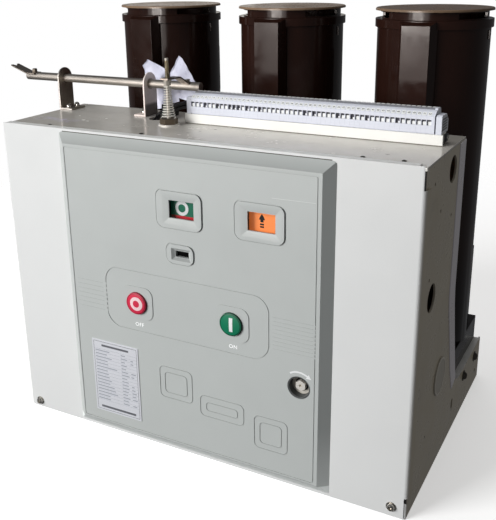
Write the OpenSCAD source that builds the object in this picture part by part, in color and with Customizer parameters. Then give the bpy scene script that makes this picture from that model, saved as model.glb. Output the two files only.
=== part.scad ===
// Indoor vacuum circuit breaker, fixed pattern: a sheet-steel mechanism box
// with a moulded operating panel on its front, three insulating pole cylinders
// on the rear of its base, a terminal row and a mechanical interlock on its top.
// X runs to the right along the front, Y runs back, Z is up.
// The origin is the centre of the footprint at floor level.

/* [Mechanism box] */
// Width of the box over the cover's side flanges
box_w = 588; // [580:1:600]
// Height of the box, floor to top flange of the cover
box_h = 436; // [430:1:450]
// Depth of the box from the cover's face to the rear sheet
box_d = 174; // [168:1:178]
// Depth of the whole footprint, with the rear extension of the base
foot_d = 392; // [385:1:400]
// Height of the rear extension of the side plates
foot_h = 68; // [60:1:72]
// Thickness of the side, top and rear sheets
sheet_t = 2.5; // [2:0.5:3]
// Thickness of the front cover's sheet
cover_t = 1.8; // [1.5:0.1:2]

/* [Operating panel] */
// Width of the moulded panel at its foot
panel_w = 389; // [380:1:395]
// Height of the moulded panel at its foot
panel_h = 428; // [424:1:429]
// How far the panel stands in front of the cover
panel_d = 10; // [8:0.5:12]
// Width of the sloping border around the panel's flat face
panel_bevel = 13; // [10:0.5:15]
// Diameter of the ON and OFF buttons
button_dia = 30; // [28:1:32]
// Diameter of the hole for the charging crank
crank_hole_dia = 30; // [28:1:32]

/* [Poles] */
// Distance between neighbouring pole axes
pole_pitch = 210; // [208:1:212]
// Distance of the pole axes behind the cover's face
pole_back = 306; // [304:1:308]
// Outer radius of the insulating cylinders
pole_r = 75; // [73:0.5:76]
// Wall thickness of the insulating cylinders
pole_wall = 8; // [6:0.5:9]
// Height of the underside of the pole lids
lid_z = 574.7; // [570:0.1:580]
// Radius of the pole lids
lid_r = 78; // [76:0.5:80]
// Thickness of the pole lids
lid_t = 3; // [2:0.5:4]

/* [Main terminals] */
// Width of the terminal bars
bar_w = 50; // [40:1:52]
// Thickness of the terminal bars
bar_t = 12; // [10:1:14]
// Diameter of the connection holes in the terminal bars
bar_hole = 13; // [11:1:14]
// Height of the middle of the upper terminal bars
upper_z = 470; // [465:1:475]
// Height of the middle of the lower terminal bars
lower_z = 205; // [200:1:210]

/* [Interlock] */
// Diameter of the interlock shaft
shaft_dia = 12; // [11:0.5:13]
// Distance of the shaft behind the cover's face
shaft_back = 134.5; // [132:0.5:137]
// Height of the shaft's axis over the floor
shaft_z = 479; // [478:0.5:480]
// Diameter of the interlock plunger
plunger_dia = 5; // [4:0.5:6]
// Number of turns of the plunger's conical spring
spring_turns = 13; // [8:1:15]

/* [Terminal row] */
// Number of ways in the control terminal row
ways = 52; // [40:1:52]
// Width of one way
way_w = 6.2; // [5.8:0.1:6.2]

/* [Hidden] */

$fn = 64;
e = 0.01;
yf = -foot_d / 2;            // face of the front cover
yr = foot_d / 2;             // rear end of the base
side_x = box_w / 2 - cover_t;  // outer face of the side plates
side_i = side_x - sheet_t;     // inner face of the side plates
top_z = box_h - cover_t;       // upper face of the top plate
box_r = yf + box_d;            // rear face of the box
py = yf - panel_d;             // flat face of the panel
panel_z = 4;                   // foot of the panel
pole_y = yf + pole_back;       // row of the pole axes
pole_base_h = 38;              // height of a pole's square foot
pole_z0 = foot_h;              // underside of a pole
sh_y = yf + shaft_back;
pl_x = -77.5;                  // plunger axis
pl_y = yf + 85;
washer_z = 486.8;              // underside of the plunger's nut
bush_top = top_z + 9;
strip_y = yf + 105.5;          // front of the terminal rail
strip_x0 = -55.6;              // left end of the terminal row
end_cover = 3.4;               // cover plate at the row's right end
rail_h = 13;
col_x = -5;                    // the panel's middle column of fittings
pane_dx = 1.4;                     // window panes, right of the flags
flag_w = 38;                   // width of the indicator flags

// A rectangle with round corners, centred
module rr(w, h, r) {
    square([w - 2 * r, h], center = true);
    square([w, h - 2 * r], center = true);
    for (x = [-1, 1], y = [-1, 1])
        translate([x * (w / 2 - r), y * (h / 2 - r)]) circle(r, $fn = 48);
}

// Extrudes a drawing in X and Z from y0 to y1
module slab(y0, y1) {
    translate([0, y1, 0]) rotate([90, 0, 0]) linear_extrude(y1 - y0) children();
}

// Extrudes a drawing in Y and Z from x0 to x1
module cheek(x0, x1) {
    translate([x0, 0, 0]) rotate([90, 0, 90]) linear_extrude(x1 - x0) children();
}

// A round bar along Y from y0 to y1
module ybar(x, z, d, y0, y1) {
    translate([x, y1, z]) rotate([90, 0, 0]) cylinder(d = d, h = y1 - y0);
}

// ---------- mechanism box ----------

module front_cover() {
    color([0.86, 0.87, 0.86]) difference() {
        intersection() {
        union() {
            // face
            slab(yf, yf + cover_t) difference() {
                translate([-box_w / 2, 0]) square([box_w, box_h]);
                // holes behind the panel's windows, counter, buttons and crank
                translate([col_x, 352]) square([flag_w + 10, 82], center = true);
                translate([104.5, 350.6]) square([flag_w + 10, 82], center = true);
                translate([col_x - 0.5, 294.7]) square([31, 22], center = true);
                for (x = [-76, 65]) translate([x, 215]) circle(d = 35);
                translate([156, 149.3]) circle(d = 41);
                // corner notch at the upper right
                translate([box_w / 2 - 3.5, box_h - 27]) square([10, 40]);
                // rounded lower left corner
                translate([-box_w / 2 - e, -e]) difference() {
                    square(8);
                    translate([8, 8]) circle(8);
                }
            }
            // flange over the top plate
            translate([-box_w / 2 + 6, yf + cover_t, top_z])
                cube([box_w - 16, 10, cover_t]);
            // flanges over the side plates
            for (s = [-1, 1])
                translate([s < 0 ? -box_w / 2 : box_w / 2 - cover_t, yf + cover_t, 29])
                    cube([cover_t, 16, box_h - 27 - 29]);
        }
        // bends along the sides
        translate([0, yf + 50, 0]) linear_extrude(box_h) rr(box_w, 100, 5.5);
        }
        // cut at the lower right corner, over the folded tab
        translate([box_w / 2 - 4.8, yf - 1, 22]) cube([7, 30, 7]);
    }
}

module top_plate() {
    color([0.80, 0.81, 0.79]) difference() {
        translate([-side_x, yf + cover_t, top_z - sheet_t])
            cube([2 * side_x, box_d - cover_t, sheet_t]);
        // hole for the plunger bush
        translate([pl_x, pl_y, top_z - 10]) cylinder(d = 16, h = 20);
        // hole for the control wiring
        translate([-117, yf + 118, top_z - 10]) cylinder(d = 25, h = 20);
    }
}

// Outline of a side plate in Y and Z: tall box part, sloping
// transition and low rear extension
module side_outline() {
    polygon([[yf + cover_t, 0], [yr, 0], [yr, foot_h], [yf + 252, foot_h],
        [yf + 236, foot_h + 3], [yf + 223, foot_h + 12], [yf + 214, foot_h + 30],
        [yf + 193, 164], [yf + 179, 212], [box_r, 236], [box_r, top_z - sheet_t],
        [yf + cover_t, top_z - sheet_t]]);
}

module side_plate() {
    difference() {
        union() {
            cheek(side_i, side_x) side_outline();
            // flange folded in along the extension's top
            translate([side_x - 12, yf + 206, foot_h - sheet_t])
                cube([12 - sheet_t + e, foot_d - 210, sheet_t]);
            // foot folded in along the floor
            translate([side_x - 42, yf + cover_t, 0])
                cube([42 - sheet_t + e, foot_d - cover_t, 3]);
        }
        // large holes
        translate([side_i - 1, yf + 119.5, 406]) rotate([0, 90, 0]) cylinder(d = 33, h = 5);
        translate([side_i - 1, yf + 55.6, 267.6]) rotate([0, 90, 0]) cylinder(d = 35, h = 5);
        // hole closed by the plug
        translate([side_i - 1, yf + 123, 133]) rotate([0, 90, 0]) cylinder(d = 46, h = 5);
        // upright slot
        cheek(side_i - 1, side_x + 1) translate([yf + 213.8, 42]) rr(10.5, 18.5, 5);
        // small fixing holes
        for (p = [[39.6, 407.5], [72.3, 367.9], [125.2, 348.5], [40.5, 294.9], [69.5, 74.1]])
            translate([side_i - 1, yf + p[0], p[1]]) rotate([0, 90, 0])
                cylinder(d = 4.4, h = 5, $fn = 24);
        // earthing hole in the extension
        translate([side_i - 1, yf + 367, 20]) rotate([0, 90, 0]) cylinder(d = 9, h = 5);
        // holes in the foot for fixing to the switchgear frame
        for (y = [-150, 150])
            translate([270, y, -1]) cylinder(d = 13, h = 6);
    }
}

module right_side_plate() { color([0.76, 0.76, 0.74]) side_plate(); }
module left_side_plate() { color([0.76, 0.76, 0.74]) mirror([1, 0, 0]) side_plate(); }

module rear_plate() {
    color([0.76, 0.76, 0.74])
        translate([-side_i, box_r - sheet_t, 3])
            cube([2 * side_i, sheet_t, top_z - sheet_t - 3]);
}

// Channels that tie the poles' front ribs to the box
module pole_mounting_beams() {
    color([0.62, 0.63, 0.62]) for (z = [150, 380]) difference() {
        translate([-250, box_r, z - 22]) cube([500, pole_back - 87 - box_d, 44]);
        translate([-251, box_r + 3, z - 19]) cube([502, pole_back - 87 - box_d - 6, 50]);
    }
}

module base_plate() {
    color([0.76, 0.76, 0.74])
        translate([-side_x + 42, yf + cover_t, 0])
            cube([2 * side_x - 84, 203, 3]);
}

module rear_cross_member() {
    color([0.76, 0.76, 0.74]) {
        translate([-side_i, yr - sheet_t, 3]) cube([2 * side_i, sheet_t, 55]);
        translate([-side_i, yr - 25, 3]) cube([2 * side_i, 25 - sheet_t + e, sheet_t]);
    }
}

module pole_support_rails() {
    color([0.62, 0.63, 0.62])
        for (y = [yf + 246, yf + 346]) translate([0, y, 0]) {
            difference() {
                union() {
                    translate([-side_x + 13, 0, 40]) cube([2 * side_x - 26, 28, foot_h - 40]);
                    translate([-side_i, 0, 40]) cube([2 * side_i, 28, foot_h - sheet_t - 40]);
                }
                translate([-side_i - 1, 3, 43]) cube([2 * side_i + 2, 22, foot_h - sheet_t - 46]);
            }
        }
}

// Spring mechanism, as the closed block that it is behind the cover
module mechanism_block() {
    color([0.45, 0.46, 0.47]) difference() {
        translate([-225, yf + 74, 3]) cube([450, 78, 340]);
        ybar(156, 149.3, 22, yf + 70, yf + 120);
    }
}

// ---------- operating panel ----------

// Frustum with a flat face toward -Y
module pillow(x0, x1, z0, z1, b, ya, yb) {
    intersection() {
        translate([0, 0, z0]) linear_extrude(z1 - z0)
            polygon([[x0, yb], [x0 + b, ya], [x1 - b, ya], [x1, yb]]);
        cheek(x0, x1) polygon([[yb, z0], [ya, z0 + b], [ya, z1 - b], [yb, z1]]);
    }
}

// Raised frame with a recess sloping in to an opening
module bezel_body(x, z, w, h) {
    translate([x, 0, z]) slab(py - 1.6, py + 1) rr(w, h, 9);
}

// Sloping recess of the frame, and the opening ow by oh at its floor
module bezel_cut(x, z, w, h, ow, oh) {
    pillow_cut(x, z, w, h, ow + 1, oh + 1, py - 1.6, py + 1.4);
    translate([x, 0, z]) slab(py - 1, yf + 1) square([ow, oh], center = true);
}

// Tapering rectangular recess, wide at y0 and narrow at y1
module pillow_cut(x, z, w0, h0, w1, h1, y0, y1) {
    intersection() {
        translate([0, 0, z - h0]) linear_extrude(2 * h0)
            polygon([[x - w0 / 2, y0 - e], [x + w0 / 2, y0 - e], [x + w1 / 2, y1], [x - w1 / 2, y1]]);
        cheek(x - w0, x + w0)
            polygon([[y0 - e, z - h0 / 2], [y0 - e, z + h0 / 2], [y1, z + h1 / 2], [y1, z - h1 / 2]]);
    }
}

// Groove line of width g and depth 0.8 along a round-cornered rectangle
module groove(x, z, w, h, r, g) {
    translate([x, 0, z]) slab(py - 1, py + 0.8) difference() {
        rr(w, h, r);
        rr(w - 2 * g, h - 2 * g, r - g);
    }
}

module operating_panel() {
    color([0.70, 0.71, 0.70]) difference() {
        union() {
            intersection() {
                pillow(-panel_w / 2, panel_w / 2, panel_z, panel_z + panel_h, panel_bevel, py, yf);
                translate([0, 0, panel_z + panel_h / 2]) slab(py - 1, yf + 1) rr(panel_w, panel_h, 6);
            }
            bezel_body(col_x - 0.8, 351.3, 64.5, 47);
            bezel_body(104.4, 351.6, 64.2, 46.5);
            bezel_body(col_x - 1.3, 294.2, 39, 25);
            // pads under the buttons
            translate([-76, 0, 215]) slab(py - 0.9, py + 1) rr(48, 46, 12);
            translate([65, 0, 215]) slab(py - 0.9, py + 1) rr(48, 46, 12);
        }
        bezel_cut(col_x + 1.4, 351.4, 50.6, 37, 35.6, 22.9);
        bezel_cut(105.9, 351.4, 51.2, 37.4, 36.2, 23.4);
        bezel_cut(col_x + 0.5, 293.9, 28.4, 16, 19.4, 8.2);
        // pocket for the counter
        translate([col_x - 0.5, 0, 294.7]) slab(yf - 4, yf + 1) square([30, 21], center = true);
        // pockets for the window panes, and behind them for the flags' travel
        for (p = [[col_x, 352], [104.5, 350.6]]) translate([p[0], 0, p[1]]) {
            translate([pane_dx, 0, 0]) slab(py + 3.6, yf + 1) square([43.5, 30.6], center = true);
            slab(py + 5.1, yf + 1) square([flag_w + 10, 82], center = true);
        }
        // button guides
        ybar(-76, 215, button_dia + 1, py - 5, yf + 1);
        ybar(65, 215, button_dia + 1, py - 5, yf + 1);
        // crank hole
        ybar(156, 149.3, crank_hole_dia, py - 5, yf + 1);
        // groove lines
        groove(-1.5, 217.5, 357, 396, 3, 1.1);
        groove(-4.8, 217, 243, 86, 22, 1.2);
        // gaps around the window frames
        groove(col_x - 0.8, 351.3, 67.8, 50.3, 10.8, 1.5);
        groove(104.4, 351.6, 67.5, 49.8, 10.8, 1.5);
        groove(col_x - 1.3, 294.2, 42.3, 28.3, 10.8, 1.5);
    }
}

module window_panes() {
    color([0.85, 0.9, 0.9, 0.3]) {
        for (p = [[col_x, 352], [104.5, 350.6]]) translate([p[0] + pane_dx, 0, p[1]])
            slab(py + 3.6, py + 5.1) square([43.3, 30.4], center = true);
    }
}

module operation_counter() {
    color([0.08, 0.08, 0.08]) translate([col_x - 0.5, 0, 294.7]) {
        slab(yf - 4, yf + 22) square([30, 21], center = true);
    }
}

// Flag behind a window, on an arm that reaches back to the mechanism
module flag(x, z) {
    translate([x, 0, z]) slab(py + panel_d + 0.1, py + panel_d + 1.6) square([flag_w, 50], center = true);
    translate([x - 4, yf + 1.6 - e, z - 20]) cube([8, 65, 4]);
}

// The flags rest with their upper half in the window
module switch_indicator() { color([0.05, 0.45, 0.30]) flag(col_x, 341); }
module storage_indicator() { color([0.95, 0.50, 0.15]) flag(104.5, 339.5); }

module button(x) {
    intersection() {
        ybar(x, 215, button_dia, py - 5.5, yf + 6);
        translate([x, py - 5.5 + 78, 215]) sphere(78);
    }
    ybar(x, 215, 10, yf + 6 - e, yf + 62);
}

module off_button() { color([0.80, 0.12, 0.18]) button(-76); }
module on_button() { color([0.02, 0.42, 0.27]) button(65); }

module crank_socket() {
    color([0.30, 0.31, 0.31]) difference() {
        union() {
            ybar(156, 149.3, crank_hole_dia - 0.2, py + 0.6, yf + 14);
            ybar(156, 149.3, 40, yf, yf + 14);
        }
        ybar(156, 149.3, crank_hole_dia - 4, py - 1, yf + 2);
        ybar(156, 149.3, 23, yf - 1, yf + 20);
    }
}

module charging_shaft() {
    color([0.78, 0.78, 0.76]) difference() {
        union() {
            translate([156, yf + 2, 149.3]) rotate([90, 0, 0])
                rotate([0, 0, 30]) cylinder(d = 14, h = 7, $fn = 6);
            ybar(156, 149.3, 10, yf + 2 - e, yf + 110);
        }
        ybar(156, 149.3, 4, yf - 6, yf - 2);
    }
}

module rating_plate() {
    color([0.90, 0.90, 0.92]) translate([-118.7, 0, 90.5])
        slab(py - 0.8, py) rr(77, 112, 1);
}

module side_hole_plugs() {
    color([0.80, 0.79, 0.76]) for (s = [-1, 1]) scale([s, 1, 1])
        translate([side_i - 4, yf + 123, 133]) rotate([0, 90, 0]) {
            difference() {
                cylinder(d = 45.8, h = 4 + sheet_t);
                translate([0, 0, -1]) cylinder(d = 40, h = 4 + sheet_t);
            }
            translate([0, 0, 4 + sheet_t]) cylinder(d = 51, h = 1.6);
        }
}

// ---------- poles ----------

// One insulating cylinder with its axis on the Z axis
module pole_cylinder() {
    z1 = pole_z0 + pole_base_h;
    color([0.24, 0.15, 0.12]) difference() {
        union() {
            // square foot
            translate([-73.3, -76, pole_z0]) cube([146.6, 157, pole_base_h]);
            // body
            translate([0, 0, z1 - 5]) cylinder(r = pole_r, h = 564 - z1, $fn = 96);
            // collar
            translate([0, 0, 553]) cylinder(r = lid_r, h = 11, $fn = 96);
            // neck under the lid
            translate([0, 0, 560]) cylinder(r = lid_r - 7, h = lid_z - 560, $fn = 96);
            // mounting rib down the front, with drafted sides and top
            intersection() {
                translate([0, 0, z1]) linear_extrude(457)
                    polygon([[-25, -68], [-25, -72], [-18.5, -87], [18.5, -87], [25, -72], [25, -68]]);
                cheek(-30, 30) polygon([[-60, z1], [-87, z1], [-87, 559], [-76, 563], [-60, 563]]);
            }
            // frames around the terminal openings
            for (z = [upper_z, lower_z])
                translate([-40, 40, z - 36]) cube([80, 42, 72]);
            // wide housing of the lower terminal
            translate([-62, 30, z1 - 5]) cube([124, 52, 221 - z1 + 5]);
            // small eye beside the collar
            for (s = [-1, 1]) translate([s * 74.5 - 2, -8, 538]) cube([4, 4, 12]);
        }
        // bore of the cylinder
        translate([0, 0, pole_z0 - 1]) cylinder(r = pole_r - pole_wall, h = 600, $fn = 96);
        // terminal openings, each with the bar resting on its lower edge
        for (z = [upper_z, lower_z])
            translate([-32, 30, z - bar_t / 2]) cube([64, 80, 28 + bar_t / 2]);
        // air slots in the neck, on the front half
        for (s = [0, 1]) mirror([s, 0, 0]) mirror([0, 1, 0])
            translate([0, 0, 565.5]) intersection() {
                cube([100, 100, 7]);
                linear_extrude(7) polygon([[0, 0], [61, 73], [100, 73], [100, 4]]);
            }
    }
}

module left_pole_cylinder() { translate([-pole_pitch, pole_y, 0]) pole_cylinder(); }
module middle_pole_cylinder() { translate([0, pole_y, 0]) pole_cylinder(); }
module right_pole_cylinder() { translate([pole_pitch, pole_y, 0]) pole_cylinder(); }

module each_pole() { for (i = [-1, 0, 1]) translate([i * pole_pitch, pole_y, 0]) children(); }

module pole_lids() {
    color([0.42, 0.34, 0.27]) each_pole() translate([0, 0, lid_z]) {
        cylinder(r = lid_r, h = lid_t - 1, $fn = 96);
        translate([0, 0, lid_t - 1 - e]) cylinder(r1 = lid_r, r2 = lid_r - 1, h = 1, $fn = 96);
    }
}

module vacuum_interrupters() {
    color([0.90, 0.89, 0.85]) each_pole() {
        translate([0, 0, 262]) cylinder(r = 46, h = 160);
        translate([0, 0, 250]) cylinder(r = 38, h = 12 + e);
        translate([0, 0, 422 - e]) cylinder(r = 38, h = 10);
        translate([0, 0, 432 - e]) cylinder(r = 18, h = upper_z - bar_t / 2 - 432 + e);
        translate([0, 0, lower_z + bar_t / 2]) cylinder(r = 12, h = 250 - lower_z - bar_t / 2 + e);
    }
}

module terminal_bar(z) {
    difference() {
        union() {
            translate([-bar_w / 2, 0, z - bar_t / 2]) cube([bar_w, yr - pole_y, bar_t]);
            translate([0, 0, z - bar_t / 2]) cylinder(r = bar_w / 2, h = bar_t);
        }
        for (y = [yr - pole_y - 16]) for (x = [-13, 13])
            translate([x, y, z - 20]) cylinder(d = bar_hole, h = 40);
    }
}

module upper_terminals() { color([0.72, 0.73, 0.75]) each_pole() terminal_bar(upper_z); }
module lower_terminals() { color([0.72, 0.73, 0.75]) each_pole() terminal_bar(lower_z); }

module insulated_pull_rods() {
    color([0.35, 0.20, 0.15]) each_pole() {
        translate([0, 0, 110]) cylinder(r = 16, h = lower_z - bar_t / 2 - 110);
        for (z = [125, 143, 161]) translate([0, 0, z]) cylinder(r = 26, h = 6);
    }
}

// ---------- terminal row ----------

module terminal_rail() {
    color([0.93, 0.92, 0.88])
        translate([-65, strip_y, top_z]) {
            cube([346, 3, rail_h]);
            cube([327, 35, rail_h]);
            translate([0, 0, rail_h - 2]) cube([343.5, 24, 2]);
        }
}

// Profile with a sloping marker face; a step at the foot leaves a shadow gap
module terminal_row() {
    z = top_z + rail_h;
    color([0.86, 0.87, 0.90])
        cheek(strip_x0, strip_x0 + ways * way_w + end_cover)
            polygon([[strip_y + 3, z], [strip_y + 3, z + 1.2], [strip_y + 0.8, z + 1.2],
                [strip_y + 0.8, z + 20.6], [strip_y + 8, z + 25.4], [strip_y + 12.5, z + 26.6],
                [strip_y + 13.5, z + 28], [strip_y + 23, z + 28], [strip_y + 26, z + 26.5],
                [strip_y + 28, z + 20], [strip_y + 28, z]]);
}

module end_stop(x0, x1) {
    z = top_z + rail_h;
    cheek(x0, x1)
        polygon([[strip_y + 1.5, z], [strip_y + 1.5, z + 20.3], [strip_y + 4.5, z + 22],
            [strip_y + 22, z + 22], [strip_y + 31, z + 14], [strip_y + 31, z]]);
}

// One end clamp at each end of the row
module terminal_end_stop() {
    x1 = strip_x0 + ways * way_w + end_cover;
    color([0.80, 0.81, 0.84]) {
        end_stop(strip_x0 - 7.2, strip_x0 - 0.6);
        end_stop(x1 + 1.2, x1 + 8.4);
    }
}

// Tube of radius r through the points p
function unit(v) = v / norm(v);
function tang(p, i) = unit(p[min(i + 1, len(p) - 1)] - p[max(i - 1, 0)]);
module tube(p, r, n = 8) {
    pts = [for (i = [0 : len(p) - 1])
        let (t = tang(p, i), a = abs(t[2]) > 0.8 ? [1, 0, 0] : [0, 0, 1],
             u = unit(cross(t, a)), v = cross(t, u))
        for (k = [0 : n - 1]) p[i] + r * (cos(360 * k / n) * u + sin(360 * k / n) * v)];
    m = len(p);
    polyhedron(points = pts, faces = concat(
        [[for (k = [0 : n - 1]) k]],
        [[for (k = [n - 1 : -1 : 0]) (m - 1) * n + k]],
        [for (i = [0 : m - 2], k = [0 : n - 1])
            [i * n + k, (i + 1) * n + k, (i + 1) * n + (k + 1) % n]],
        [for (i = [0 : m - 2], k = [0 : n - 1])
            [i * n + k, (i + 1) * n + (k + 1) % n, i * n + (k + 1) % n]]));
}

// Smooth curve through four control points
function bez(a, b, c, d, t) = a * pow(1 - t, 3) + b * 3 * t * pow(1 - t, 2)
    + c * 3 * t * t * (1 - t) + d * pow(t, 3);
function route(a, b, c, d, n) = [for (i = [0 : n]) bez(a, b, c, d, i / n)];

// Control wires, from the hole in the top plate to the end of the terminal row
module wiring_harness() {
    color([0.07, 0.07, 0.08]) for (i = [0 : 4])
        tube(route([-117 + 6 * cos(72 * i), yf + 118 + 6 * sin(72 * i), top_z - 8],
            [-117 + 6 * cos(72 * i), yf + 118 + 6 * sin(72 * i), top_z + 20 + 2 * i],
            [-60 + 8 * i, strip_y + 50 + 5 * i, top_z + 19 + 3 * i],
            [-46 + 8 * i, strip_y + 30.2, top_z + rail_h + 4 + 2.6 * i], 14), 2.4);
}

// ---------- interlock ----------

module shaft_bracket(foot) {
    t = 2.5;
    difference() {
        union() {
            cheek(-t, 0) {
                translate([sh_y - 15.5, top_z]) square([31, shaft_z - top_z]);
                translate([sh_y, shaft_z]) circle(15.5);
            }
            translate([foot > 0 ? -e : -t + foot, sh_y - 15.5, top_z])
                cube([abs(foot) + e, 31, t]);
        }
        translate([-t - 5, sh_y, shaft_z]) rotate([0, 90, 0])
            cylinder(r = shaft_dia / 2 + 0.05, h = 10);
    }
}

module left_shaft_bracket() { color([0.80, 0.79, 0.75]) translate([-290.7, 0, 0]) shaft_bracket(20.5); }
module right_shaft_bracket() { color([0.80, 0.79, 0.75]) translate([-138.8, 0, 0]) shaft_bracket(-17); }

module interlock_shaft() {
    color([0.72, 0.71, 0.68]) difference() {
        translate([-362.5, sh_y, shaft_z]) rotate([0, 90, 0]) cylinder(d = shaft_dia, h = 306.3);
        // flats for the fork lever and the finger lever
        translate([-367, sh_y - 7, shaft_z + 3]) cube([23, 14, 5]);
        translate([pl_x - 6.2, sh_y - 7, shaft_z + 3]) cube([12.4, 14, 5]);
    }
}

module fork_lever() {
    color([0.60, 0.58, 0.55]) difference() {
        translate([0, sh_y + 8.8, shaft_z + 3]) rotate([90, 0, 0]) linear_extrude(17.6)
            polygon([[-344.5, 0], [-358.5, 0], [-387.8, 10.7], [-388.6, 12.9], [-359, 2.3], [-344.5, 2.3]]);
        // notch in the end
        translate([-392, sh_y, shaft_z]) linear_extrude(30)
            polygon([[-3, -9], [8.5, 0], [-3, 9]]);
    }
}

// Strip on the shaft's flat, with a slot for the plunger near its end
module finger_lever() {
    color([0.60, 0.58, 0.55]) difference() {
        cheek(pl_x - 5.8, pl_x + 5.8)
            polygon([[sh_y + 5, shaft_z + 3], [sh_y - 5, shaft_z + 3], [sh_y - 26, shaft_z + 14.2],
                [sh_y - 57.5, shaft_z + 15.3], [sh_y - 57.5, shaft_z + 17.5],
                [sh_y - 25.5, shaft_z + 16.4], [sh_y - 4.3, shaft_z + 5.2], [sh_y + 5, shaft_z + 5.2]]);
        for (y = [2.3, 0]) translate([pl_x, pl_y + y, shaft_z]) cylinder(r = 3.3, h = 30);
        translate([pl_x - 3.3, pl_y, shaft_z]) cube([6.6, 2.3, 30]);
    }
}

module plunger_bush() {
    color([0.70, 0.68, 0.64]) difference() {
        translate([pl_x, pl_y, 0]) {
            translate([0, 0, top_z]) cylinder(d = 26.6, h = 1.5);
            translate([0, 0, top_z + 1.5 - e]) rotate([0, 0, -22.5]) cylinder(d = 24.4, h = 7.5 + e, $fn = 6);
            translate([0, 0, top_z - 16]) cylinder(d = 15.8, h = 16 + e);
        }
        translate([pl_x, pl_y, top_z - 20]) cylinder(r = plunger_dia / 2 + 0.05, h = 40);
    }
}

// Rod with a nut and a washer that the finger lever presses on
module interlock_plunger() {
    color([0.72, 0.71, 0.68]) translate([pl_x, pl_y, 0]) {
        translate([0, 0, 408]) cylinder(d = plunger_dia, h = 113.8);
        translate([0, 0, washer_z]) rotate([0, 0, -22.5]) cylinder(d = 9.2, h = 5.6 + e, $fn = 6);
        translate([0, 0, washer_z + 5.6]) cylinder(d = 11, h = 1.3);
    }
}

module plunger_spring() {
    z0 = bush_top + 1.1;
    z1 = washer_z - 1.1;
    n = spring_turns * 14;
    color([0.78, 0.77, 0.74]) translate([pl_x, pl_y, 0])
        tube([for (i = [0 : n]) let (t = i / n, r = 4.6 + 4.5 * (1 - t) * (1 - t))
            [r * cos(360 * spring_turns * t), r * sin(360 * spring_turns * t), z0 + (z1 - z0) * t]], 0.6, 6);
}

// Film wrapped around the control plug behind the shaft, as a plain solid
module plug_wrap() {
    color([0.93, 0.93, 0.95]) slab(yf + 150.6, yf + 163.5)
        polygon([[-142, top_z], [-126, top_z], [-122, 446], [-108, 451], [-94, 455], [-76, 470], [-78, 481],
            [-95, 511], [-102, 515.5], [-110, 502], [-119, 485], [-127, 496], [-156, 508], [-164, 500],
            [-150, 470]]);
}

front_cover();
top_plate();
left_side_plate();
right_side_plate();
rear_plate();
pole_mounting_beams();
base_plate();
rear_cross_member();
pole_support_rails();
mechanism_block();
operating_panel();
window_panes();
operation_counter();
switch_indicator();
storage_indicator();
off_button();
on_button();
crank_socket();
charging_shaft();
rating_plate();
side_hole_plugs();
left_pole_cylinder();
middle_pole_cylinder();
right_pole_cylinder();
pole_lids();
vacuum_interrupters();
upper_terminals();
lower_terminals();
insulated_pull_rods();
terminal_rail();
terminal_row();
terminal_end_stop();
wiring_harness();
left_shaft_bracket();
right_shaft_bracket();
interlock_shaft();
fork_lever();
finger_lever();
plunger_bush();
interlock_plunger();
plunger_spring();
plug_wrap();
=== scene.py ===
import math
import random

import bmesh
import bpy
from mathutils import Matrix, Vector


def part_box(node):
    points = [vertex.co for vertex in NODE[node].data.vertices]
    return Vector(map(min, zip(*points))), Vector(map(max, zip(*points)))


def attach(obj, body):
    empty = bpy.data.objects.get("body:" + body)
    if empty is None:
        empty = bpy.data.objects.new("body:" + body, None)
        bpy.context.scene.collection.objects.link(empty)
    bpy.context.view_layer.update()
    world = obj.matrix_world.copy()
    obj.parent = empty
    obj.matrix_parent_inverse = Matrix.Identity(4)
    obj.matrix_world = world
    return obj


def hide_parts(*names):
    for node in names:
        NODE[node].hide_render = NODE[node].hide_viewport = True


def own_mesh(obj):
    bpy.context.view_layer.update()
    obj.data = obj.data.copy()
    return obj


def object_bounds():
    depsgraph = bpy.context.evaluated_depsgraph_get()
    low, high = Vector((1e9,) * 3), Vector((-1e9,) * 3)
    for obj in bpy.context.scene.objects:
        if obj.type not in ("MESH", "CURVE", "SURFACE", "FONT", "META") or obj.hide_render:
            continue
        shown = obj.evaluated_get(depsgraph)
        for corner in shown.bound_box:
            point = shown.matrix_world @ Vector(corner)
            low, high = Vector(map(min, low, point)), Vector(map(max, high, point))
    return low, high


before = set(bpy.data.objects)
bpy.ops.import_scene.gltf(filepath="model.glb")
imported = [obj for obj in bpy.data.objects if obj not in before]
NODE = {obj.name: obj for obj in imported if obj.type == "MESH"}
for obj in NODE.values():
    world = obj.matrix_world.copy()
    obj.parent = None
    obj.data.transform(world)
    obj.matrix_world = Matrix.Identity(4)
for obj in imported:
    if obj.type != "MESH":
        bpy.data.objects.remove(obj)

MM = 0.001
CAD_LO, CAD_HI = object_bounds()

# reference planes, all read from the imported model
P_LO, P_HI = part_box("operating_panel")
T_LO, T_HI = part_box("top_plate")
S_LO, S_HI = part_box("right_side_plate")
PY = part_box("rating_plate")[1].y          # flat face of the panel
YF = P_HI.y                               # face of the front cover
TOP = T_HI.z                              # upper face of the top plate
SX = S_HI.x                               # outer face of the side plates
YR = S_HI.y                               # rear end


# ------------------------------------------------------------------ meshes

def link(ob):
    bpy.context.scene.collection.objects.link(ob)
    return ob


def finish_mesh(name, bm, mat, body="breaker", smooth=None):
    """Turns a bmesh in row-frame metres into a piece that rides on a body."""
    bmesh.ops.recalc_face_normals(bm, faces=bm.faces)
    me = bpy.data.meshes.new(name)
    bm.to_mesh(me)
    bm.free()
    if smooth is not None:
        me.polygons.foreach_set("use_smooth", [True] * len(me.polygons))
        me.set_sharp_from_angle(angle=math.radians(smooth))
    ob = link(bpy.data.objects.new(name, me))
    for m in (mat if isinstance(mat, (list, tuple)) else [mat]):
        me.materials.append(m)
    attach(ob, body)
    return ob


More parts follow.
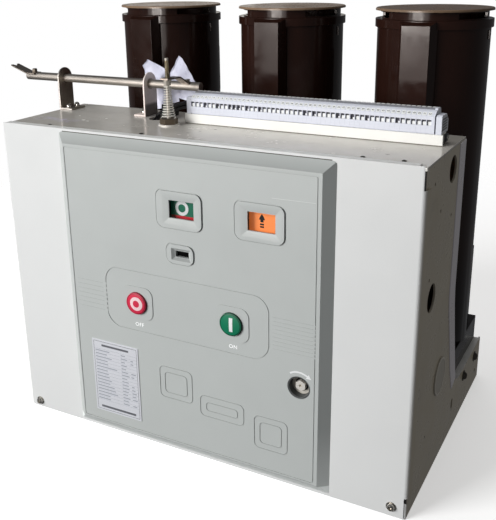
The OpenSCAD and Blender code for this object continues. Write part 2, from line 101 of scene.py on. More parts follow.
def basis(direction, up=(0, 0, 1)):
    """Right-handed matrix whose third axis is the direction."""
    w = Vector(direction).normalized()
    u = Vector(up)
    if abs(u.normalized().dot(w)) > 0.99:
        u = Vector((1, 0, 0))
    x = u.cross(w).normalized()
    y = w.cross(x)
    return Matrix((x, y, w)).transposed()


def add_lathe(bm, profile, at, direction, n=32, mi=0):
    """Closed solid of revolution: profile is a list of (radius, height)."""
    m = basis(direction)
    at = Vector(at)
    rings = []
    for r, h in profile:
        if r < 1e-7:
            rings.append([bm.verts.new(at + m @ Vector((0, 0, h)))])
        else:
            rings.append([bm.verts.new(at + m @ Vector((r * math.cos(2 * math.pi * k / n), r * math.sin(2 * math.pi * k / n), h))) for k in range(n)])
    faces = []
    for a, b in zip(rings, rings[1:]):
        for k in range(n):
            k2 = (k + 1) % n
            if len(a) == 1 and len(b) == 1:
                continue
            if len(a) == 1:
                f = bm.faces.new((a[0], b[k], b[k2]))
            elif len(b) == 1:
                f = bm.faces.new((a[k], b[0], a[k2]))
            else:
                f = bm.faces.new((a[k], b[k], b[k2], a[k2]))
            f.material_index = mi
            faces.append(f)
    for ring in (rings[0], rings[-1]):
        if len(ring) > 1:
            f = bm.faces.new(ring)
            f.material_index = mi
    return faces


def add_prism(bm, outline, lo, hi, axis="y", mi=0):
    """Closed prism. The outline is drawn in the two other axes, in X, Y, Z order."""
    def point(a, b, h):
        return {"x": (h, a, b), "y": (a, h, b), "z": (a, b, h)}[axis]
    bottom = [bm.verts.new(point(a, b, lo)) for a, b in outline]
    top = [bm.verts.new(point(a, b, hi)) for a, b in outline]
    n = len(outline)
    fs = [bm.faces.new(bottom[::-1]), bm.faces.new(top)]
    for k in range(n):
        fs.append(bm.faces.new((bottom[k], bottom[(k + 1) % n], top[(k + 1) % n], top[k])))
    for f in fs:
        f.material_index = mi
    return fs


def add_box(bm, lo, hi, mi=0, bevel=0.0, seg=2):
    """Box from corner to corner, with rounded edges if bevel is given."""
    v = [bm.verts.new((x, y, z)) for x in (lo[0], hi[0]) for y in (lo[1], hi[1]) for z in (lo[2], hi[2])]
    quads = ((0, 1, 3, 2), (4, 6, 7, 5), (0, 4, 5, 1), (2, 3, 7, 6), (0, 2, 6, 4), (1, 5, 7, 3))
    fs = [bm.faces.new([v[i] for i in q]) for q in quads]
    for f in fs:
        f.material_index = mi
    if bevel:
        es = list({e for f in fs for e in f.edges})
        r = bmesh.ops.bevel(bm, geom=es, offset=bevel, segments=seg, profile=0.5, affect="EDGES", clamp_overlap=True)
        for f in r["faces"]:
            f.material_index = mi


def add_tube(bm, pts, r, n=10, mi=0):
    """Closed round tube along points, with parallel frames."""
    pts = [Vector(p) for p in pts]
    t0 = (pts[1] - pts[0]).normalized()
    u = t0.orthogonal().normalized()
    rings = []
    for i, p in enumerate(pts):
        t = (pts[min(i + 1, len(pts) - 1)] - pts[max(i - 1, 0)]).normalized()
        u = (u - t * u.dot(t)).normalized()
        v = t.cross(u)
        rr = r[i] if isinstance(r, (list, tuple)) else r
        rings.append([bm.verts.new(p + (u * math.cos(2 * math.pi * k / n) + v * math.sin(2 * math.pi * k / n)) * rr) for k in range(n)])
    for a, b in zip(rings, rings[1:]):
        for k in range(n):
            f = bm.faces.new((a[k], a[(k + 1) % n], b[(k + 1) % n], b[k]))
            f.material_index = mi
    for ring in (rings[0][::-1], rings[-1]):
        bm.faces.new(ring).material_index = mi


def round_rect(cx, cz, w, h, r, n=6):
    pts = []
    for sx, sz, a0 in ((1, -1, -90), (1, 1, 0), (-1, 1, 90), (-1, -1, 180)):
        for k in range(n + 1):
            a = math.radians(a0 + 90 * k / n)
            pts.append((cx + sx * (w / 2 - r) + r * math.cos(a), cz + sz * (h / 2 - r) + r * math.sin(a)))
    return pts


def add_ring(bm, outer, inner, lo, hi, axis="y", mi=0):
    """Closed ring between two outlines with the same number of points."""
    def point(a, b, h):
        return {"x": (h, a, b), "y": (a, h, b), "z": (a, b, h)}[axis]
    n = len(outer)
    ol, il = [bm.verts.new(point(a, b, lo)) for a, b in outer], [bm.verts.new(point(a, b, lo)) for a, b in inner]
    oh, ih = [bm.verts.new(point(a, b, hi)) for a, b in outer], [bm.verts.new(point(a, b, hi)) for a, b in inner]
    for k in range(n):
        k2 = (k + 1) % n
        for q in ((ol[k], ol[k2], oh[k2], oh[k]), (il[k2], il[k], ih[k], ih[k2]),
                  (ol[k2], ol[k], il[k], il[k2]), (oh[k], oh[k2], ih[k2], ih[k])):
            bm.faces.new(q).material_index = mi


def circle(cx, cz, r, n=32):
    return [(cx + r * math.cos(2 * math.pi * k / n), cz + r * math.sin(2 * math.pi * k / n)) for k in range(n)]


def text_bm(bm, s, size, centre, depth, axis_u, axis_v, normal, mi=0, spacing=1.0):
    """Adds lettering as closed geometry, centred at a point, with its face along normal."""
    cu = bpy.data.curves.new("lettering", "FONT")
    cu.body = s
    cu.size = size
    cu.align_x = "CENTER"
    cu.align_y = "CENTER"
    cu.space_character = spacing
    cu.extrude = depth / 2
    cu.resolution_u = 3
    ob = link(bpy.data.objects.new("lettering", cu))
    bpy.context.view_layer.update()
    me = bpy.data.meshes.new_from_object(ob.evaluated_get(bpy.context.evaluated_depsgraph_get()))
    bpy.data.objects.remove(ob)
    u, v, n = Vector(axis_u), Vector(axis_v), Vector(normal)
    m = Matrix((u, v, n)).transposed().to_4x4()
    m.translation = Vector(centre)
    me.transform(m)
    tmp = bmesh.new()
    tmp.from_mesh(me)
    bmesh.ops.remove_doubles(tmp, verts=tmp.verts, dist=1e-7)
    bpy.data.meshes.remove(me)
    lut = {}
    for vv in tmp.verts:
        lut[vv.index] = bm.verts.new(vv.co)
    for f in tmp.faces:
        try:
            bm.faces.new([lut[x.index] for x in f.verts]).material_index = mi
        except ValueError:
            pass
    tmp.free()


# --------------------------------------------------------------- materials

def srgb(r, g, b):
    def c(v):
        v /= 255.0
        return v / 12.92 if v <= 0.04045 else ((v + 0.055) / 1.055) ** 2.4
    return (c(r), c(g), c(b), 1.0)


class Nodes:
    def __init__(self, name):
        self.m = bpy.data.materials.new(name)
        self.m.use_nodes = True
        self.t = self.m.node_tree
        self.b = self.t.nodes["Principled BSDF"]
        self.out = self.t.nodes["Material Output"]
        tc = self.t.nodes.new("ShaderNodeTexCoord")
        self.obj = tc.outputs["Object"]

    def new(self, kind, **kw):
        n = self.t.nodes.new("ShaderNode" + kind)
        for k, v in kw.items():
            setattr(n, k, v)
        return n

    def wire(self, a, b):
        self.t.links.new(a, b)

    def mapped(self, scale=(1, 1, 1), rot=(0, 0, 0), loc=(0, 0, 0)):
        n = self.new("Mapping")
        n.inputs["Scale"].default_value = scale
        n.inputs["Rotation"].default_value = rot
        n.inputs["Location"].default_value = loc
        self.wire(self.obj, n.inputs["Vector"])
        return n.outputs["Vector"]

    def noise(self, scale, detail=3.0, rough=0.55, vec=None, dist=0.0):
        n = self.new("TexNoise")
        n.inputs["Scale"].default_value = scale
        n.inputs["Detail"].default_value = detail
        n.inputs["Roughness"].default_value = rough
        n.inputs["Distortion"].default_value = dist
        self.wire(vec or self.obj, n.inputs["Vector"])
        return n.outputs["Fac"]

    def voronoi(self, scale, feature="F1", vec=None):
        n = self.new("TexVoronoi", feature=feature)
        n.inputs["Scale"].default_value = scale
        self.wire(vec or self.obj, n.inputs["Vector"])
        return n.outputs["Distance"]

    def ramp(self, src, a, b, lo=0.0, hi=1.0):
        """Maps src from [a, b] to [lo, hi], clamped."""
        n = self.new("MapRange", clamp=True)
        for k, v in (("From Min", a), ("From Max", b), ("To Min", lo), ("To Max", hi)):
            n.inputs[k].default_value = v
        self.wire(src, n.inputs["Value"])
        return n.outputs["Result"]

    def math(self, op, a, b=None):
        n = self.new("Math", operation=op)
        for i, s in enumerate((a, b)):
            if s is None:
                continue
            if isinstance(s, (int, float)):
                n.inputs[i].default_value = s
            else:
                self.wire(s, n.inputs[i])
        return n.outputs[0]

    def mix(self, fac, a, b, blend="MIX"):
        n = self.new("Mix", data_type="RGBA", blend_type=blend)
        for sock, s in ((n.inputs[0], fac), (n.inputs[6], a), (n.inputs[7], b)):
            if isinstance(s, (int, float)):
                sock.default_value = s
            elif isinstance(s, tuple):
                sock.default_value = s
            else:
                self.wire(s, sock)
        return n.outputs[2]

    def bump(self, height, strength, distance, chain=None):
        n = self.new("Bump")
        n.inputs["Strength"].default_value = strength
        n.inputs["Distance"].default_value = distance
        self.wire(height, n.inputs["Height"])
        if chain:
            self.wire(chain, n.inputs["Normal"])
        return n.outputs["Normal"]

    def axis(self, which):
        n = self.new("SeparateXYZ")
        self.wire(self.obj, n.inputs[0])
        return n.outputs[which]

    def done(self, color=None, rough=None, normal=None, metal=0.0, coat=0.0, coat_rough=0.1, spec=0.5, ior=1.45):
        if color is not None:
            if isinstance(color, tuple):
                self.b.inputs["Base Color"].default_value = color
            else:
                self.wire(color, self.b.inputs["Base Color"])
        if rough is not None:
            if isinstance(rough, (int, float)):
                self.b.inputs["Roughness"].default_value = rough
            else:
                self.wire(rough, self.b.inputs["Roughness"])
        if normal is not None:
            self.wire(normal, self.b.inputs["Normal"])
        self.b.inputs["Metallic"].default_value = metal
        self.b.inputs["Coat Weight"].default_value = coat
        self.b.inputs["Coat Roughness"].default_value = coat_rough
        self.b.inputs["Specular IOR Level"].default_value = spec
        self.b.inputs["IOR"].default_value = ior
        return self.m


def scaled(c, k):
    return (min(1, c[0] * k), min(1, c[1] * k), min(1, c[2] * k), 1.0)


def paint(name, base, rough=0.38, peel=0.25, tone=0.03, dust=0.0, dust_color=(0.35, 0.33, 0.30, 1), spec=0.5):
    """Powder coat: faint orange peel, slow shade changes, smudges."""
    n = Nodes(name)
    slow = n.noise(7, 3, 0.6)
    c = n.mix(n.ramp(slow, 0.35, 0.65), scaled(base, 1 - tone), scaled(base, 1 + tone))
    fine = n.noise(1400, 1, 0.5)
    c = n.mix(n.ramp(fine, 0.3, 0.7, 0.0, 0.06), c, scaled(base, 0.80))
    if dust:
        patches = n.noise(19, 5, 0.68, dist=0.4)
        c = n.mix(n.ramp(patches, 0.56, 0.72, 0.0, dust), c, dust_color)
    smudge = n.noise(26, 4, 0.6)
    r = n.ramp(smudge, 0.35, 0.7, rough - 0.06, rough + 0.08)
    bp = n.bump(n.noise(420, 2, 0.5), peel, 0.00012)
    bp = n.bump(n.noise(9, 2, 0.5), 0.12, 0.0012, bp)
    return n.done(c, r, bp, spec=spec)


def plastic(name, base, rough=0.45, grain=0.3, tone=0.03, scale=900, spec=0.5, coat=0.0):
    """Moulded plastic with a fine eroded grain."""
    n = Nodes(name)
    c = n.mix(n.ramp(n.noise(11, 3, 0.6), 0.35, 0.65), scaled(base, 1 - tone), scaled(base, 1 + tone))
    c = n.mix(n.ramp(n.noise(scale * 1.3, 2, 0.6), 0.35, 0.7, 0.0, 0.10), c, scaled(base, 0.78))
    r = n.ramp(n.noise(40, 4, 0.6), 0.3, 0.7, rough - 0.05, rough + 0.07)
    bp = n.bump(n.noise(scale, 3, 0.6), grain, 0.00008)
    return n.done(c, r, bp, spec=spec, coat=coat)


def steel(name, base, rough=0.3, brush=(1, 1, 1), tone=0.08, grain=0.25, scale=300, stain=0.0, stain_color=(0.12, 0.09, 0.07, 1)):
    """Brushed, turned or rolled steel. brush stretches the grain."""
    n = Nodes(name)
    v = n.mapped(scale=brush)
    g = n.noise(scale, 5, 0.65, vec=v)
    c = n.mix(n.ramp(n.noise(24, 4, 0.6), 0.3, 0.7), scaled(base, 1 - tone), scaled(base, 1 + tone))
    c = n.mix(n.ramp(g, 0.35, 0.7, 0.0, 0.25), c, scaled(base, 0.7))
    if stain:
        s = n.noise(70, 5, 0.7, dist=0.6)
        c = n.mix(n.ramp(s, 0.54, 0.7, 0.0, stain), c, stain_color)
    r = n.ramp(g, 0.3, 0.75, rough - 0.07, rough + 0.14)
    bp = n.bump(g, grain, 0.00006)
    return n.done(c, r, bp, metal=1.0)


def resin(name, base, rough=0.14, tone=0.25, spec=0.5):
    """Cast epoxy: dark gloss with slow waves from the mould and faint rubbed spots."""
    n = Nodes(name)
    v = n.mapped(scale=(1, 1, 0.25))
    c = n.mix(n.ramp(n.noise(16, 4, 0.6, vec=v), 0.3, 0.7), scaled(base, 1 - tone), scaled(base, 1 + tone))
    c = n.mix(n.ramp(n.noise(900, 2, 0.5), 0.55, 0.8, 0.0, 0.15), c, scaled(base, 2.2))
    r = n.ramp(n.noise(34, 5, 0.65), 0.35, 0.75, rough - 0.05, rough + 0.12)
    bp = n.bump(n.noise(14, 2, 0.5, vec=v), 0.25, 0.0010)
    bp = n.bump(n.noise(260, 2, 0.5), 0.10, 0.00010, bp)
    return n.done(c, r, bp, spec=spec)


def tint(mat, fac, color):
    """Mixes color (or, given a number, a darker or lighter tone) into a material where fac(nodes) is 1."""
    n = Nodes.__new__(Nodes)
    n.m, n.t = mat, mat.node_tree
    n.b, n.out = n.t.nodes["Principled BSDF"], n.t.nodes["Material Output"]
    tc = n.new("TexCoord")
    n.obj, n.nor = tc.outputs["Object"], tc.outputs["Normal"]
    base = n.b.inputs["Base Color"]
    old = base.links[0].from_socket if base.links else tuple(base.default_value)
    if isinstance(color, (int, float)):
        color = n.mix(1.0, old, (color, color, color, 1.0), "MULTIPLY")
    n.wire(n.mix(fac(n), old, color), base)


def facing(n, which, lo, hi):
    """1 where the surface's own normal along an axis goes past hi, 0 below lo."""
    sep = n.new("SeparateXYZ")
    n.wire(n.nor, sep.inputs[0])
    return n.ramp(sep.outputs[which], lo, hi)


M = {}
M["cover"] = paint("cover_paint", srgb(226, 227, 226), rough=0.36, peel=0.22, tone=0.012)
M["box"] = paint("box_paint", srgb(198, 190, 172), rough=0.30, peel=0.20, tone=0.03, dust=0.16, dust_color=srgb(120, 114, 106))
M["top"] = paint("top_paint", srgb(180, 177, 171), rough=0.22, peel=0.12, tone=0.03, dust=0.22, dust_color=srgb(128, 120, 116))
M["zinc"] = steel("zinc_plate", srgb(200, 193, 182), rough=0.38, tone=0.10, stain=0.25, stain_color=srgb(120, 108, 88))
M["mech"] = paint("mechanism_paint", srgb(70, 71, 72), rough=0.5, tone=0.1, dust=0.3)
M["panel"] = plastic("panel_plastic", srgb(188, 192, 190), rough=0.42, grain=0.25, tone=0.015)
M["counter"] = plastic("counter_black", srgb(4, 4, 4), rough=0.7, spec=0.05)
M["green_flag"] = plastic("flag_green", srgb(24, 110, 84), rough=0.40, grain=0.1)
M["orange_flag"] = plastic("flag_orange", srgb(255, 150, 84), rough=0.40, grain=0.1)
M["red_flag"] = plastic("flag_red", srgb(176, 20, 36), rough=0.40, grain=0.1)
M["red"] = plastic("button_red", srgb(212, 44, 76), rough=0.38, grain=0.06)
M["green"] = plastic("button_green", srgb(10, 118, 84), rough=0.38, grain=0.06)
M["white"] = plastic("print_white", srgb(238, 240, 240), rough=0.45, grain=0.08, tone=0.01)
M["black_ink"] = plastic("print_black", srgb(18, 16, 16), rough=0.5, grain=0.08)
M["grey_ink"] = plastic("print_grey", srgb(96, 98, 104), rough=0.5, grain=0.05)
M["socket"] = plastic("socket_grey", srgb(82, 85, 85), rough=0.4, grain=0.3)
M["bright"] = steel("bright_steel", srgb(200, 194, 186), rough=0.42, brush=(0.04, 1, 1), stain=0.2, stain_color=srgb(110, 100, 88))
M["label"] = steel("label_foil", srgb(226, 228, 234), rough=0.45, tone=0.02, grain=0.05)
M["label"].node_tree.nodes["Principled BSDF"].inputs["Metallic"].default_value = 0.25
M["plug"] = plastic("plug_plastic", srgb(190, 186, 176), rough=0.42, grain=0.15)
M["epoxy"] = resin("cast_epoxy", srgb(38, 21, 16), spec=0.36)
M["lid"] = resin("lid_epoxy", srgb(112, 92, 74), rough=0.22, tone=0.12)
M["ceramic"] = plastic("glazed_ceramic", srgb(226, 224, 214), rough=0.12, grain=0.04, coat=0.5)
M["silver"] = steel("silver_plate", srgb(214, 211, 203), rough=0.24, brush=(1, 0.05, 1), stain=0.3, stain_color=srgb(120, 104, 84))
M["rail"] = plastic("rail_cream", srgb(246, 245, 240), rough=0.35, grain=0.08)
M["terminal"] = plastic("terminal_plastic", srgb(218, 221, 232), rough=0.35, grain=0.12)
M["terminal_dark"] = plastic("terminal_dark", srgb(120, 122, 128), rough=0.4, grain=0.12)
M["wire"] = plastic("wire_black", srgb(16, 16, 18), rough=0.32, grain=0.1)
M["lever"] = steel("lever_steel", srgb(176, 166, 156), rough=0.34, brush=(0.05, 1, 1), stain=0.3)
M["spring"] = steel("spring_steel", srgb(244, 242, 234), rough=0.34, grain=0.1)
M["spring"].node_tree.nodes["Principled BSDF"].inputs["Metallic"].default_value = 0.25
M["screw"] = steel("screw_steel", srgb(208, 205, 198), rough=0.24, grain=0.15)
M["film"] = plastic("film_white", srgb(208, 209, 226), rough=0.35, grain=0.05, tone=0.05)
# near-black: painted shade inside the cover's notches, and the dark line at its lower right edge
M["dark"] = plastic("dark_recess", srgb(12, 11, 10), rough=0.6, grain=0.1)
# painted shade: darker greys for the panel's groove lines
M["panel_line"] = plastic("panel_line", srgb(158, 162, 160), rough=0.45, grain=0.2)
M["panel_line2"] = plastic("panel_groove_shade_faint", srgb(176, 180, 178), rough=0.45, grain=0.2)
M["pink_ink"] = plastic("print_pink", srgb(246, 214, 216), rough=0.3, grain=0.05, tone=0.01)
M["light_ink"] = plastic("print_light", srgb(158, 162, 172), rough=0.5, grain=0.05)
# painted highlight: a lighter copy of the box paint for the lit folded corner
M["box_light"] = paint("box_paint_painted_highlight", srgb(228, 226, 220), rough=0.30, peel=0.2)
M["dark_screw"] = steel("dark_screw", srgb(96, 92, 86), rough=0.4, tone=0.12, stain=0.4)
M["chip"] = plastic("paint_chip", srgb(232, 230, 226), rough=0.6, grain=0.3)
M["scuff"] = plastic("paint_scuff", srgb(120, 118, 114), rough=0.6, grain=0.3)
# painted light: a lighter, cooler copy of the box paint for the rear flanges
M["strip"] = paint("strip_painted_light", srgb(232, 229, 236), rough=0.30, peel=0.15, tone=0.02)
M["plug_light"] = plastic("plug_rim", srgb(216, 212, 202), rough=0.42, grain=0.15)
M["drum"] = steel("drum_steel", srgb(150, 146, 140), rough=0.35, brush=(1, 0.1, 0.1), stain=0.3)
# painted shade: dark grey for the inside of the wire windows and the body behind the ways
M["terminal_recess_shade"] = plastic("terminal_recess_shade", srgb(58, 58, 72), rough=0.5, grain=0.12)
M["terminal_band"] = plastic("terminal_band", srgb(150, 151, 158), rough=0.4, grain=0.12)
M["seam"] = plastic("seam_shadow", srgb(120, 116, 106), rough=0.6, grain=0.1)
M["clip"] = plastic("clip_grey", srgb(92, 92, 96), rough=0.45, grain=0.2)
M["bolt_bright"] = steel("bolt_bright", srgb(226, 224, 218), rough=0.2, grain=0.1)
M["thread"] = steel("thread_steel", srgb(188, 172, 132), rough=0.3, grain=0.1, stain=0.3, stain_color=srgb(110, 84, 56))
M["dark_metal"] = steel("dark_metal", srgb(122, 114, 106), rough=0.5, grain=0.1)
M["nut_dull"] = steel("nut_dull", srgb(122, 114, 104), rough=0.5, grain=0.1)
M["bush"] = steel("bush_steel", srgb(112, 102, 88), rough=0.5, grain=0.15, stain=0.3)
# painted reflection: a lighter, less metallic copy of the zinc for the right bracket
M["zinc_painted_reflection"] = steel("zinc_painted_reflection", srgb(232, 220, 214), rough=0.46, tone=0.06)
M["zinc_painted_reflection"].node_tree.nodes["Principled BSDF"].inputs["Metallic"].default_value = 0.35
M["rod"] = steel("rod_steel", srgb(196, 190, 180), rough=0.36, stain=0.15)
M["rod"].node_tree.nodes["Principled BSDF"].inputs["Metallic"].default_value = 0.5
M["washer"] = steel("washer_bright", srgb(240, 236, 228), rough=0.3, grain=0.05)
M["washer"].node_tree.nodes["Principled BSDF"].inputs["Metallic"].default_value = 0.3
M["caption"] = plastic("print_caption", srgb(250, 251, 251), rough=0.5, grain=0.05, tone=0.01)
# painted shade: darker red and green for the button caps' shaded rims
M["red_rim_shade"] = plastic("button_red_rim", srgb(150, 22, 46), rough=0.4, grain=0.06)
M["green_rim_shade"] = plastic("button_green_rim", srgb(2, 62, 44), rough=0.4, grain=0.06)
M["panel_pale"] = plastic("panel_pale", srgb(212, 215, 213), rough=0.45, grain=0.1)
M["gap"] = plastic("gap_shadow", srgb(96, 96, 90), rough=0.6, grain=0.1)

# painted light and shade that follow the shape: painted shade on the cover's side flanges, painted shade and light on
# the panel's bevels, painted light on the extension's folded top, painted shade at the foot of the poles, and the
# two-coloured flag
# painted shade: the cover's rounded side bends and flanges turn to the darker, warmer box paint tone
tint(M["cover"], lambda n: n.math("MULTIPLY", n.ramp(n.math("ABSOLUTE", n.axis(0)), 0.2880, 0.2910), n.ramp(n.axis(1), YF + 0.0005, YF + 0.0050)), srgb(198, 190, 172))
# painted shade on the panel's top bevel, deeper towards its lower edge
tint(M["panel"], lambda n: n.math("MULTIPLY", facing(n, 2, 0.25, 0.45), n.ramp(n.axis(2), 0.432, 0.419, 0.45, 1.0)), 0.66)
# painted shade on the panel's right-facing bevels
tint(M["panel"], lambda n: facing(n, 0, 0.25, 0.45), 0.78)
# painted light on the right-facing bevels, lighter towards the bottom
tint(M["panel"], lambda n: n.math("MULTIPLY", facing(n, 0, 0.25, 0.45), n.ramp(n.axis(2), 0.10, 0.0)), 1.7)
# painted light along the panel's bottom edge
tint(M["panel"], lambda n: n.ramp(n.math("MULTIPLY", n.axis(2), 1.0), 0.0165, 0.0150), 1.75)
# painted light on the up-facing box paint low down, the extension's folded top
tint(M["box"], lambda n: n.math("MULTIPLY", facing(n, 2, 0.5, 0.8), n.ramp(n.axis(2), 0.12, 0.09)), srgb(226, 226, 224))
# painted shade at the foot of the poles, darker towards the bottom
tint(M["epoxy"], lambda n: n.ramp(n.axis(2), 0.26, 0.18), 0.25)
tint(M["green_flag"], lambda n: n.ramp(n.axis(2), 0.34150, 0.34130), srgb(206, 28, 48))
# painted reflection: the lower part of the right bracket's inner face darker
tint(M["zinc_painted_reflection"], lambda n: n.math("MULTIPLY", facing(n, 0, 0.5, 0.8), n.ramp(n.axis(2), 0.4530, 0.4490)), 0.30)
# painted light: the top plate lighter towards the right
tint(M["top"], lambda n: n.ramp(n.axis(0), -0.16, 0.14), 1.28)
# painted light: the lids lighter towards the left
tint(M["lid"], lambda n: n.ramp(n.axis(0), 0.21, 0.0), 1.38)
tint(M["top"], lambda n: n.math("MULTIPLY", n.math("MULTIPLY", n.ramp(n.math("ABSOLUTE", n.math("ADD", n.axis(0), 0.243)), 0.040, 0.026), n.ramp(n.math("ABSOLUTE", n.math("ADD", n.axis(1), -YF - 0.055)), 0.014, 0.007)), n.ramp(n.noise(110, 4, 0.7), 0.42, 0.60, 0.0, 0.75)), srgb(196, 190, 214))
# painted highlight: the zinc parts' front-facing faces near white
tint(M["zinc"], lambda n: facing(n, 1, -0.5, -0.8), srgb(252, 247, 240))
# painted shade: darker lavender veins in the film's creases
tint(M["film"], lambda n: n.ramp(n.noise(120, 5, 0.75, dist=1.2), 0.56, 0.66, 0.0, 0.5), srgb(150, 150, 178))
# painted glow: weak emission on the orange and green flags and on the captions
for k, c, e in (("orange_flag", srgb(255, 140, 76), 0.30), ("green_flag", srgb(24, 110, 84), 0.05), ("caption", (1, 1, 1, 1), 0.25)):
    M[k].node_tree.nodes["Principled BSDF"].inputs["Emission Color"].default_value = c
    M[k].node_tree.nodes["Principled BSDF"].inputs["Emission Strength"].default_value = e

glass = Nodes("clear_window")
glass.b.inputs["Alpha"].default_value = 0.06
M["glass"] = glass.done(srgb(16, 18, 18), glass.ramp(glass.noise(60, 3), 0.3, 0.7, 0.04, 0.09), None, spec=0.18, ior=1.45)

LOOK = {
    "front_cover": "cover", "top_plate": "top", "left_side_plate": "box", "right_side_plate": "box", "rear_plate": "box",
    "pole_mounting_beams": "zinc", "base_plate": "box", "rear_cross_member": "box", "pole_support_rails": "zinc",
    "mechanism_block": "mech", "operating_panel": "panel", "window_panes": "glass", "operation_counter": "counter",
    "switch_indicator": "green_flag", "storage_indicator": "orange_flag", "off_button": "red", "on_button": "green",
    "crank_socket": "socket", "charging_shaft": "washer", "rating_plate": "label", "side_hole_plugs": "plug",
    "left_pole_cylinder": "epoxy", "middle_pole_cylinder": "epoxy", "right_pole_cylinder": "epoxy", "pole_lids": "lid",
    "vacuum_interrupters": "ceramic", "upper_terminals": "silver", "lower_terminals": "silver", "insulated_pull_rods": "epoxy",
    "terminal_rail": "rail", "terminal_row": "terminal", "terminal_end_stop": "terminal", "wiring_harness": "wire",
    "left_shaft_bracket": "zinc", "right_shaft_bracket": "zinc_painted_reflection", "interlock_shaft": "bright", "fork_lever": "lever",
    "finger_lever": "lever", "plunger_bush": "bush", "interlock_plunger": "rod", "plunger_spring": "spring", "plug_wrap": "film",
}
# bevels in millimetres that soften the edges of carried-over CAD nodes
SOFT = {
    "front_cover": 0.5, "top_plate": 0.9, "left_side_plate": 0.7, "right_side_plate": 0.7, "rear_plate": 0.7,
    "pole_mounting_beams": 1.2, "base_plate": 0.7, "rear_cross_member": 0.7, "pole_support_rails": 0.8, "mechanism_block": 2.0,
    "operating_panel": 0.35, "operation_counter": 0.4, "switch_indicator": 0.3, "storage_indicator": 0.3,
    "off_button": 1.2, "on_button": 1.2, "crank_socket": 0.4, "charging_shaft": 0.5, "rating_plate": 0.15, "side_hole_plugs": 0.6,
    "left_pole_cylinder": 1.6, "middle_pole_cylinder": 1.6, "right_pole_cylinder": 1.6, "pole_lids": 0.5,
    "vacuum_interrupters": 2.0, "upper_terminals": 1.0, "lower_terminals": 1.0, "insulated_pull_rods": 1.5,
    "terminal_rail": 0.6, "terminal_end_stop": 0.6, "left_shaft_bracket": 0.5, "right_shaft_bracket": 0.5,
    "interlock_shaft": 0.5, "fork_lever": 0.4, "finger_lever": 0.3, "plunger_bush": 0.5, "interlock_plunger": 0.4,
}


def soften(node, width, seg=2, angle=28):
    ob = NODE[node]
    me = ob.data
    if "custom_normal" in me.attributes:
        me.attributes.remove(me.attributes["custom_normal"])
    me.polygons.foreach_set("use_smooth", [True] * len(me.polygons))
    w = ob.modifiers.new("weld", "WELD")
    w.merge_threshold = 1e-6
    d = ob.modifiers.new("flat", "DECIMATE")
    d.decimate_type = "DISSOLVE"
    d.angle_limit = math.radians(0.4)
    b = ob.modifiers.new("edges", "BEVEL")
    b.width = width * MM
    b.segments = seg
    b.limit_method = "ANGLE"
    b.angle_limit = math.radians(angle)
    b.use_clamp_overlap = True
    b.harden_normals = True
    b.miter_outer = "MITER_ARC"


for node, ob in NODE.items():
    ob.data.materials.clear()
    ob.data.materials.append(M[LOOK[node]])
    if node in SOFT:
        soften(node, SOFT[node])

# ------------------------------------------------------------ detail pieces

def at(x, y, z):
    """Millimetres, with y measured back from the cover's face."""
    return Vector((x * MM, YF + y * MM, z * MM))


def rel_y(node, k=0):
    return (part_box(node)[k].y - YF) / MM


def add_loop(bm, rings, mi=0, closed=True):
    """Skin over rings of the same length; closed joins the last to the first."""
    n, m = len(rings), len(rings[0])
    for i in range(n if closed else n - 1):
        a, b = rings[i], rings[(i + 1) % n]
        for k in range(m):
            bm.faces.new((a[k], a[(k + 1) % m], b[(k + 1) % m], b[k])).material_index = mi
    if not closed:
        bm.faces.new(rings[0][::-1]).material_index = mi
        bm.faces.new(rings[-1]).material_index = mi


def add_ridge(bm, pts, base, top, height, closed=True, y=0.0, mi=0, sink=0.3):
    """Low ridge on the panel's face along a line drawn in X and Z, all in millimetres."""
    y0 = PY if not y else YF + y * MM
    n = len(pts)
    rings = []
    for i in range(n):
        p = Vector(pts[i])
        d1 = (p - Vector(pts[i - 1])).normalized() if closed or i else None
        d2 = (Vector(pts[(i + 1) % n]) - p).normalized() if closed or i < n - 1 else None
        d1, d2 = (d2 if d1 is None else d1), (d1 if d2 is None else d2)
        n1, n2 = Vector((d1.y, -d1.x)), Vector((d2.y, -d2.x))
        m = (n1 + n2).normalized()
        k = 1 / max(0.5, m.dot(n1))
        ring = []
        for off, h in ((-base / 2, sink), (-top / 2, -height), (top / 2, -height), (base / 2, sink)):
            q = p + m * off * k
            ring.append(bm.verts.new((q.x * MM, y0 + h * MM, q.y * MM)))
        rings.append(ring)
    add_loop(bm, rings, mi, closed)


def add_plate(bm, outline, origin, u, v, thick, mi=0, sink=0.0):
    """Flat plate on a slanted plane: outline in u and v, thickness along their normal."""
    u, v = Vector(u), Vector(v)
    n = u.cross(v).normalized()
    lo = [bm.verts.new(origin + u * a + v * b - n * sink) for a, b in outline]
    hi = [bm.verts.new(origin + u * a + v * b + n * thick) for a, b in outline]
    k = len(outline)
    bm.faces.new(lo[::-1]).material_index = mi
    bm.faces.new(hi).material_index = mi
    for i in range(k):
        bm.faces.new((lo[i], lo[(i + 1) % k], hi[(i + 1) % k], hi[i])).material_index = mi


def mmr(pts):
    return [(a * MM, b * MM) for a, b in pts]


def pan(lo, hi):
    """Box corners in panel millimetres, y from the panel's flat face, positive to the front."""
    return ((lo[0] * MM, PY - hi[1] * MM, lo[2] * MM), (hi[0] * MM, PY - lo[1] * MM, hi[2] * MM))


def hex_pts(x, z, r, turn=0):
    return [(x + r * math.cos(math.radians(60 * k + turn)), z + r * math.sin(math.radians(60 * k + turn))) for k in range(6)]


